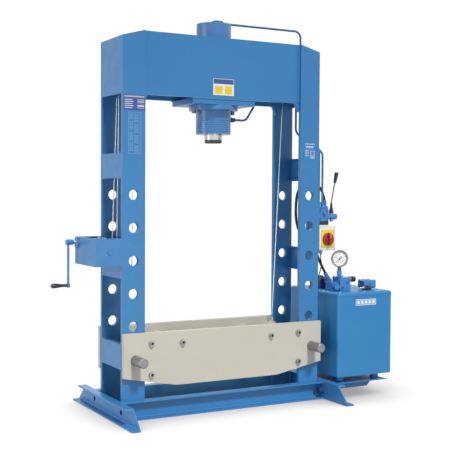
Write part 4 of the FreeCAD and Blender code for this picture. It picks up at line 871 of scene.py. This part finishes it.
def make_gaiter():
    """The lever's rubber boot: a collar, five folds and a hollow foot."""
    form = bmesh.new()
    outline = [(4.6, 78), (6.6, 77.5), (7.2, 74)]
    for high, wide in ((72, 8.2), (61, 8.4), (50, 10.4), (39, 13), (28, 15.8)):
        outline += [(wide - 1.3, high), (wide - 0.3, high - 3), (wide, high - 5.5),
                    (wide - 0.9, high - 8.5)]
    outline += [(17.2, 16), (18.5, 14.5), (18.5, 12), (16.8, 12), (13.2, 20), (9, 30), (4.6, 33),
                (4.6, 78)]
    add(form, lathe(outline), seat(849, -110, 1222))
    settle("lever_gaiter", form, [RUBBER], "lever", "black_rubber", "lever_boot", crease=60)


def make_grips():
    """The swelling black grips of the crank and of the lever."""
    form = bmesh.new()
    outline = [(5.05, 0), (8, 0), (9, 1.2), (9.2, 6), (9.1, 20), (10.4, 36), (12.6, 54),
               (14.4, 70), (15.2, 82), (15.0, 90), (13.4, 95.5), (10, 98), (5.05, 98), (5.05, 0)]
    add(form, lathe(outline), seat(-934.5, CRANK_Y, 791, LEFT))
    settle("crank_handle", form, [BLACK], "grip", "black_plastic", "crank_grip")
    top, below = Vector((890, -110, 1500)), Vector((849, -110, 1304))
    way = (top - below).normalized()
    form = bmesh.new()
    outline = [(4.6, 0), (8.4, 0), (9.2, 1.5), (10.4, 14), (12.6, 40), (13.8, 56), (14, 63),
               (12.8, 69.5), (10, 73), (6, 74), (0, 74), (0, 66.3), (4.6, 66.3), (4.6, 0)]
    add(form, lathe(outline, 40), seat(*(top - way * 66), way))
    settle("lever_handle", form, [BLACK], "lever", "black_plastic", "lever_grip")


# --- power unit ----------------------------------------------------------------------------

def gauge_place():
    """The gauge's middle, with its own Z out of the dial."""
    turn = math.radians(20)
    face = Vector((-math.sin(turn), -math.cos(turn), 0))
    across = Vector(UP).cross(face)
    lie = Matrix((across, Vector(UP), face)).transposed().to_4x4()
    return AXIS @ Matrix.Translation((903, -135, 922)) @ lie


def dial_angle(share):
    """The angle of a share of the scale, which runs clockwise over 270 degrees."""
    return math.radians(225 - 270 * share)


def print_dial(form, place, number):
    """Forty steps with marks of three lengths, and a numeral at every tenth."""
    for step in range(41):
        long_mark = step % 10 == 0
        length = 9 if long_mark else (6.5 if step % 5 == 0 else 4)
        mark = slab(length, 1.5 if long_mark else 0.8, 0.25)
        bmesh.ops.translate(mark, vec=(44 - length / 2, 0, 4), verts=mark.verts)
        bmesh.ops.rotate(mark, cent=(0, 0, 0), verts=mark.verts,
                         matrix=Matrix.Rotation(dial_angle(step / 40), 3, "Z"))
        add(form, mark, place, number)
    for quarter in range(5):
        angle = dial_angle(quarter / 4)
        words = bpy.data.curves.new("numeral", "FONT")
        words.body, words.size = str(quarter * 100), 9.5
        words.align_x, words.align_y = "CENTER", "CENTER"
        words.extrude = 0.1
        numeral = from_curve("numeral", words)
        bmesh.ops.translate(numeral, vec=(27 * math.cos(angle), 27 * math.sin(angle), 4.15),
                            verts=numeral.verts)
        add(form, numeral, place, number)


def make_gauge():
    """Dial gauge: pressed case, polished bezel, printed dial, glass and union nut."""
    place = gauge_place()
    form = bmesh.new()
    case = [(0, -22), (50, -22), (53, -21), (55.5, -18), (57.5, -6), (58.2, 4), (59, 6),
            (59, 12), (57.5, 14), (51, 14), (48.4, 12), (48, 3.6), (0, 3.6)]
    add(form, lathe(case, 96), place)
    add(form, lathe([(0, 3.4), (48.1, 3.4), (48.1, 4), (0, 4)], 72), place, 1)
    print_dial(form, place, 2)
    settle("gauge_body", form, [STAINLESS, DIAL, INK_AND_SOCKET_SHADE], "press", "gauge_steel", "gauge_case")
    form = bmesh.new()
    add(form, lathe([(0, 10.4), (48.3, 10.4), (48.3, 12), (0, 12)], 72), place)
    settle("gauge_glass", form, [GLASS], "press", "gauge_steel")
    form = bmesh.new()
    add(form, hexagon(12.7, 24, 1.2), seat(903, -135, 838.5))
    settle("gauge_union", form, [BLACKED_AND_SOCKET_SHADE], "press", "dark_steel")


def make_relief_valve():
    """The relief cartridge, its knurled knob, and the plugs and screws of the valve block."""
    x, y, z = 964, -95, 774
    form = bmesh.new()
    add(form, hexagon(19, 13, 1.4), seat(x, y, z, RIGHT, 0.3))
    add(form, lathe([(13, 12), (17.4, 13), (17.4, 27), (14, 30), (13.6, 62), (12.5, 64), (0, 64)],
                    40), seat(x, y, z, RIGHT))
    add(form, hexagon(14, 20, 1.2), seat(x, -140, 730, RIGHT, 0.2), 1)
    add(form, lathe([(9, 0), (9, 26), (7.5, 27), (0, 27)], 24), seat(x, -140, 730, RIGHT), 1)
    for across, level in ((900, 730), (938, 762)):
        cap_screw(form, across, -180, level, FRONT, 11, 5)
    for across, depth in four(921, -135, 70, 74):
        cap_screw(form, across, depth, 797, UP, 5, 5, 2)
    settle("relief_cartridge", form, [ZINC, VALVE_BLUE, BLACKED_AND_SOCKET_SHADE], "press", "valve_paint")
    form = bmesh.new()
    add(form, lathe([(0, 0), (16, 0), (18, 1.5), (18, 28), (17, 31), (13, 34), (0, 34)]),
        seat(1028.3, y, z, RIGHT))
    for _, depth, rise in around(20, 17.6):
        add(form, hexagon(1.9, 24, 0.6), seat(1030.3, y + depth, z + rise, RIGHT))
    settle("relief_handwheel", form, [BLACK], "relief", "black_plastic", "relief_knob")


def make_filter():
    """The filter head: a block on two studs with a lid, a front plug and four screws."""
    form = bmesh.new()
    x, y, top = 1119, -157, 771
    add(form, slab(98, 84, 56, 8, 4), seat(x, y, 716))
    for across in (-25, 25):
        add(form, lathe([(0, 10), (12, 10), (12, 0), (0, 0)], 24), seat(x + across, y, 706))
    add(form, lathe([(27, 0), (29, 0), (29, 3), (27, 4), (0, 4)]), seat(x - 11, y, top + 0.5))
    add(form, lathe([(0, 3), (19, 3), (20, 2), (20, 0), (0, 0)], 40), seat(x + 19, -199, 744, FRONT))
    for across, depth in four(x, y, 78, 66):
        cap_screw(form, across, depth, top, UP, 4.5, 4)
    settle("filter_housing", form, [VALVE_BLUE, DARK_STEEL, INK_AND_SOCKET_SHADE], "press", "valve_paint",
           "filter_head")


def make_drain_cock():
    """A black cock beside the filter, with a red ring and a plated spout."""
    form = bmesh.new()
    x, y, z = 1075, -210, 723
    add(form, slab(26, 22, 26, 2.5, 2), seat(x + 13, y, z - 13))
    add(form, lathe([(0, 0), (10, 0), (11, 1.5), (11, 10), (9.5, 11), (0, 11)], 32),
        seat(x, y, z, LEFT))
    add(form, lathe([(9.5, 10.5), (11.2, 11), (11.2, 18), (9.5, 18.5), (0, 18.5)], 32),
        seat(x, y, z, LEFT), 1)
    add(form, hexagon(8.5, 8, 0.8), seat(x - 18, y, z, LEFT), 2)
    add(form, lathe([(6, 25), (6, 51), (4.6, 54), (0, 54)], 24), seat(x, y, z, LEFT), 2)
    settle("drain_cock", form, [BLACK, RED, ZINC], "press", "black_plastic", "filter_plug")


def make_motor_ribs():
    """The motor's cooling ribs, its top cap and the screws of its flange."""
    form = bmesh.new()
    x, y, flange = 873, 72, 712
    for angle, across, depth in around(36, 56):
        add(form, slab(5, 2.4, 58, 0.6, 1), seat(x + across, y + depth, flange, UP, angle))
    add(form, lathe([(30, 0), (34, 0), (34, 5), (30, 8), (0, 8)]), seat(x, y, 785.5))
    for _, across, depth in around(4, 64, math.pi / 4):
        cap_screw(form, x + across, y + depth, flange, UP, 5, 5)
    settle("motor_ribs", form, [MOTOR_BLUE, DARK_STEEL, INK_AND_SOCKET_SHADE], "press", "valve_paint")


def make_cover_screws():
    """Ten round-headed screws round the edge of the tank's cover."""
    form = bmesh.new()
    left, middle, right = 806, 1005, 1204
    spots = [(x, y) for x in (left, middle, right) for y in (-278, 278)]
    spots += [(x, y) for y in (-95, 95) for x in (left, right)]
    for x, y in spots:
        add(form, lathe([(5.5, 0), (5.5, 1.6), (4, 3), (0, 3.4)], 20), seat(x, y, 705.8))
    settle("cover_screws", form, [ZINC], "press", "zinc")


# --- assembly ------------------------------------------------------------------------------

set_camera()
make_cords()
set_studio()
dress_nodes()
make_welds()
make_labels()
make_switch()
make_switch_handle()
make_gauge()
make_relief_valve()
make_filter()
make_drain_cock()
make_valve_details()
make_gaiter()
make_motor_ribs()
make_cover_screws()
make_port_nuts()
make_foot_bushes()
make_bolts()
make_grips()
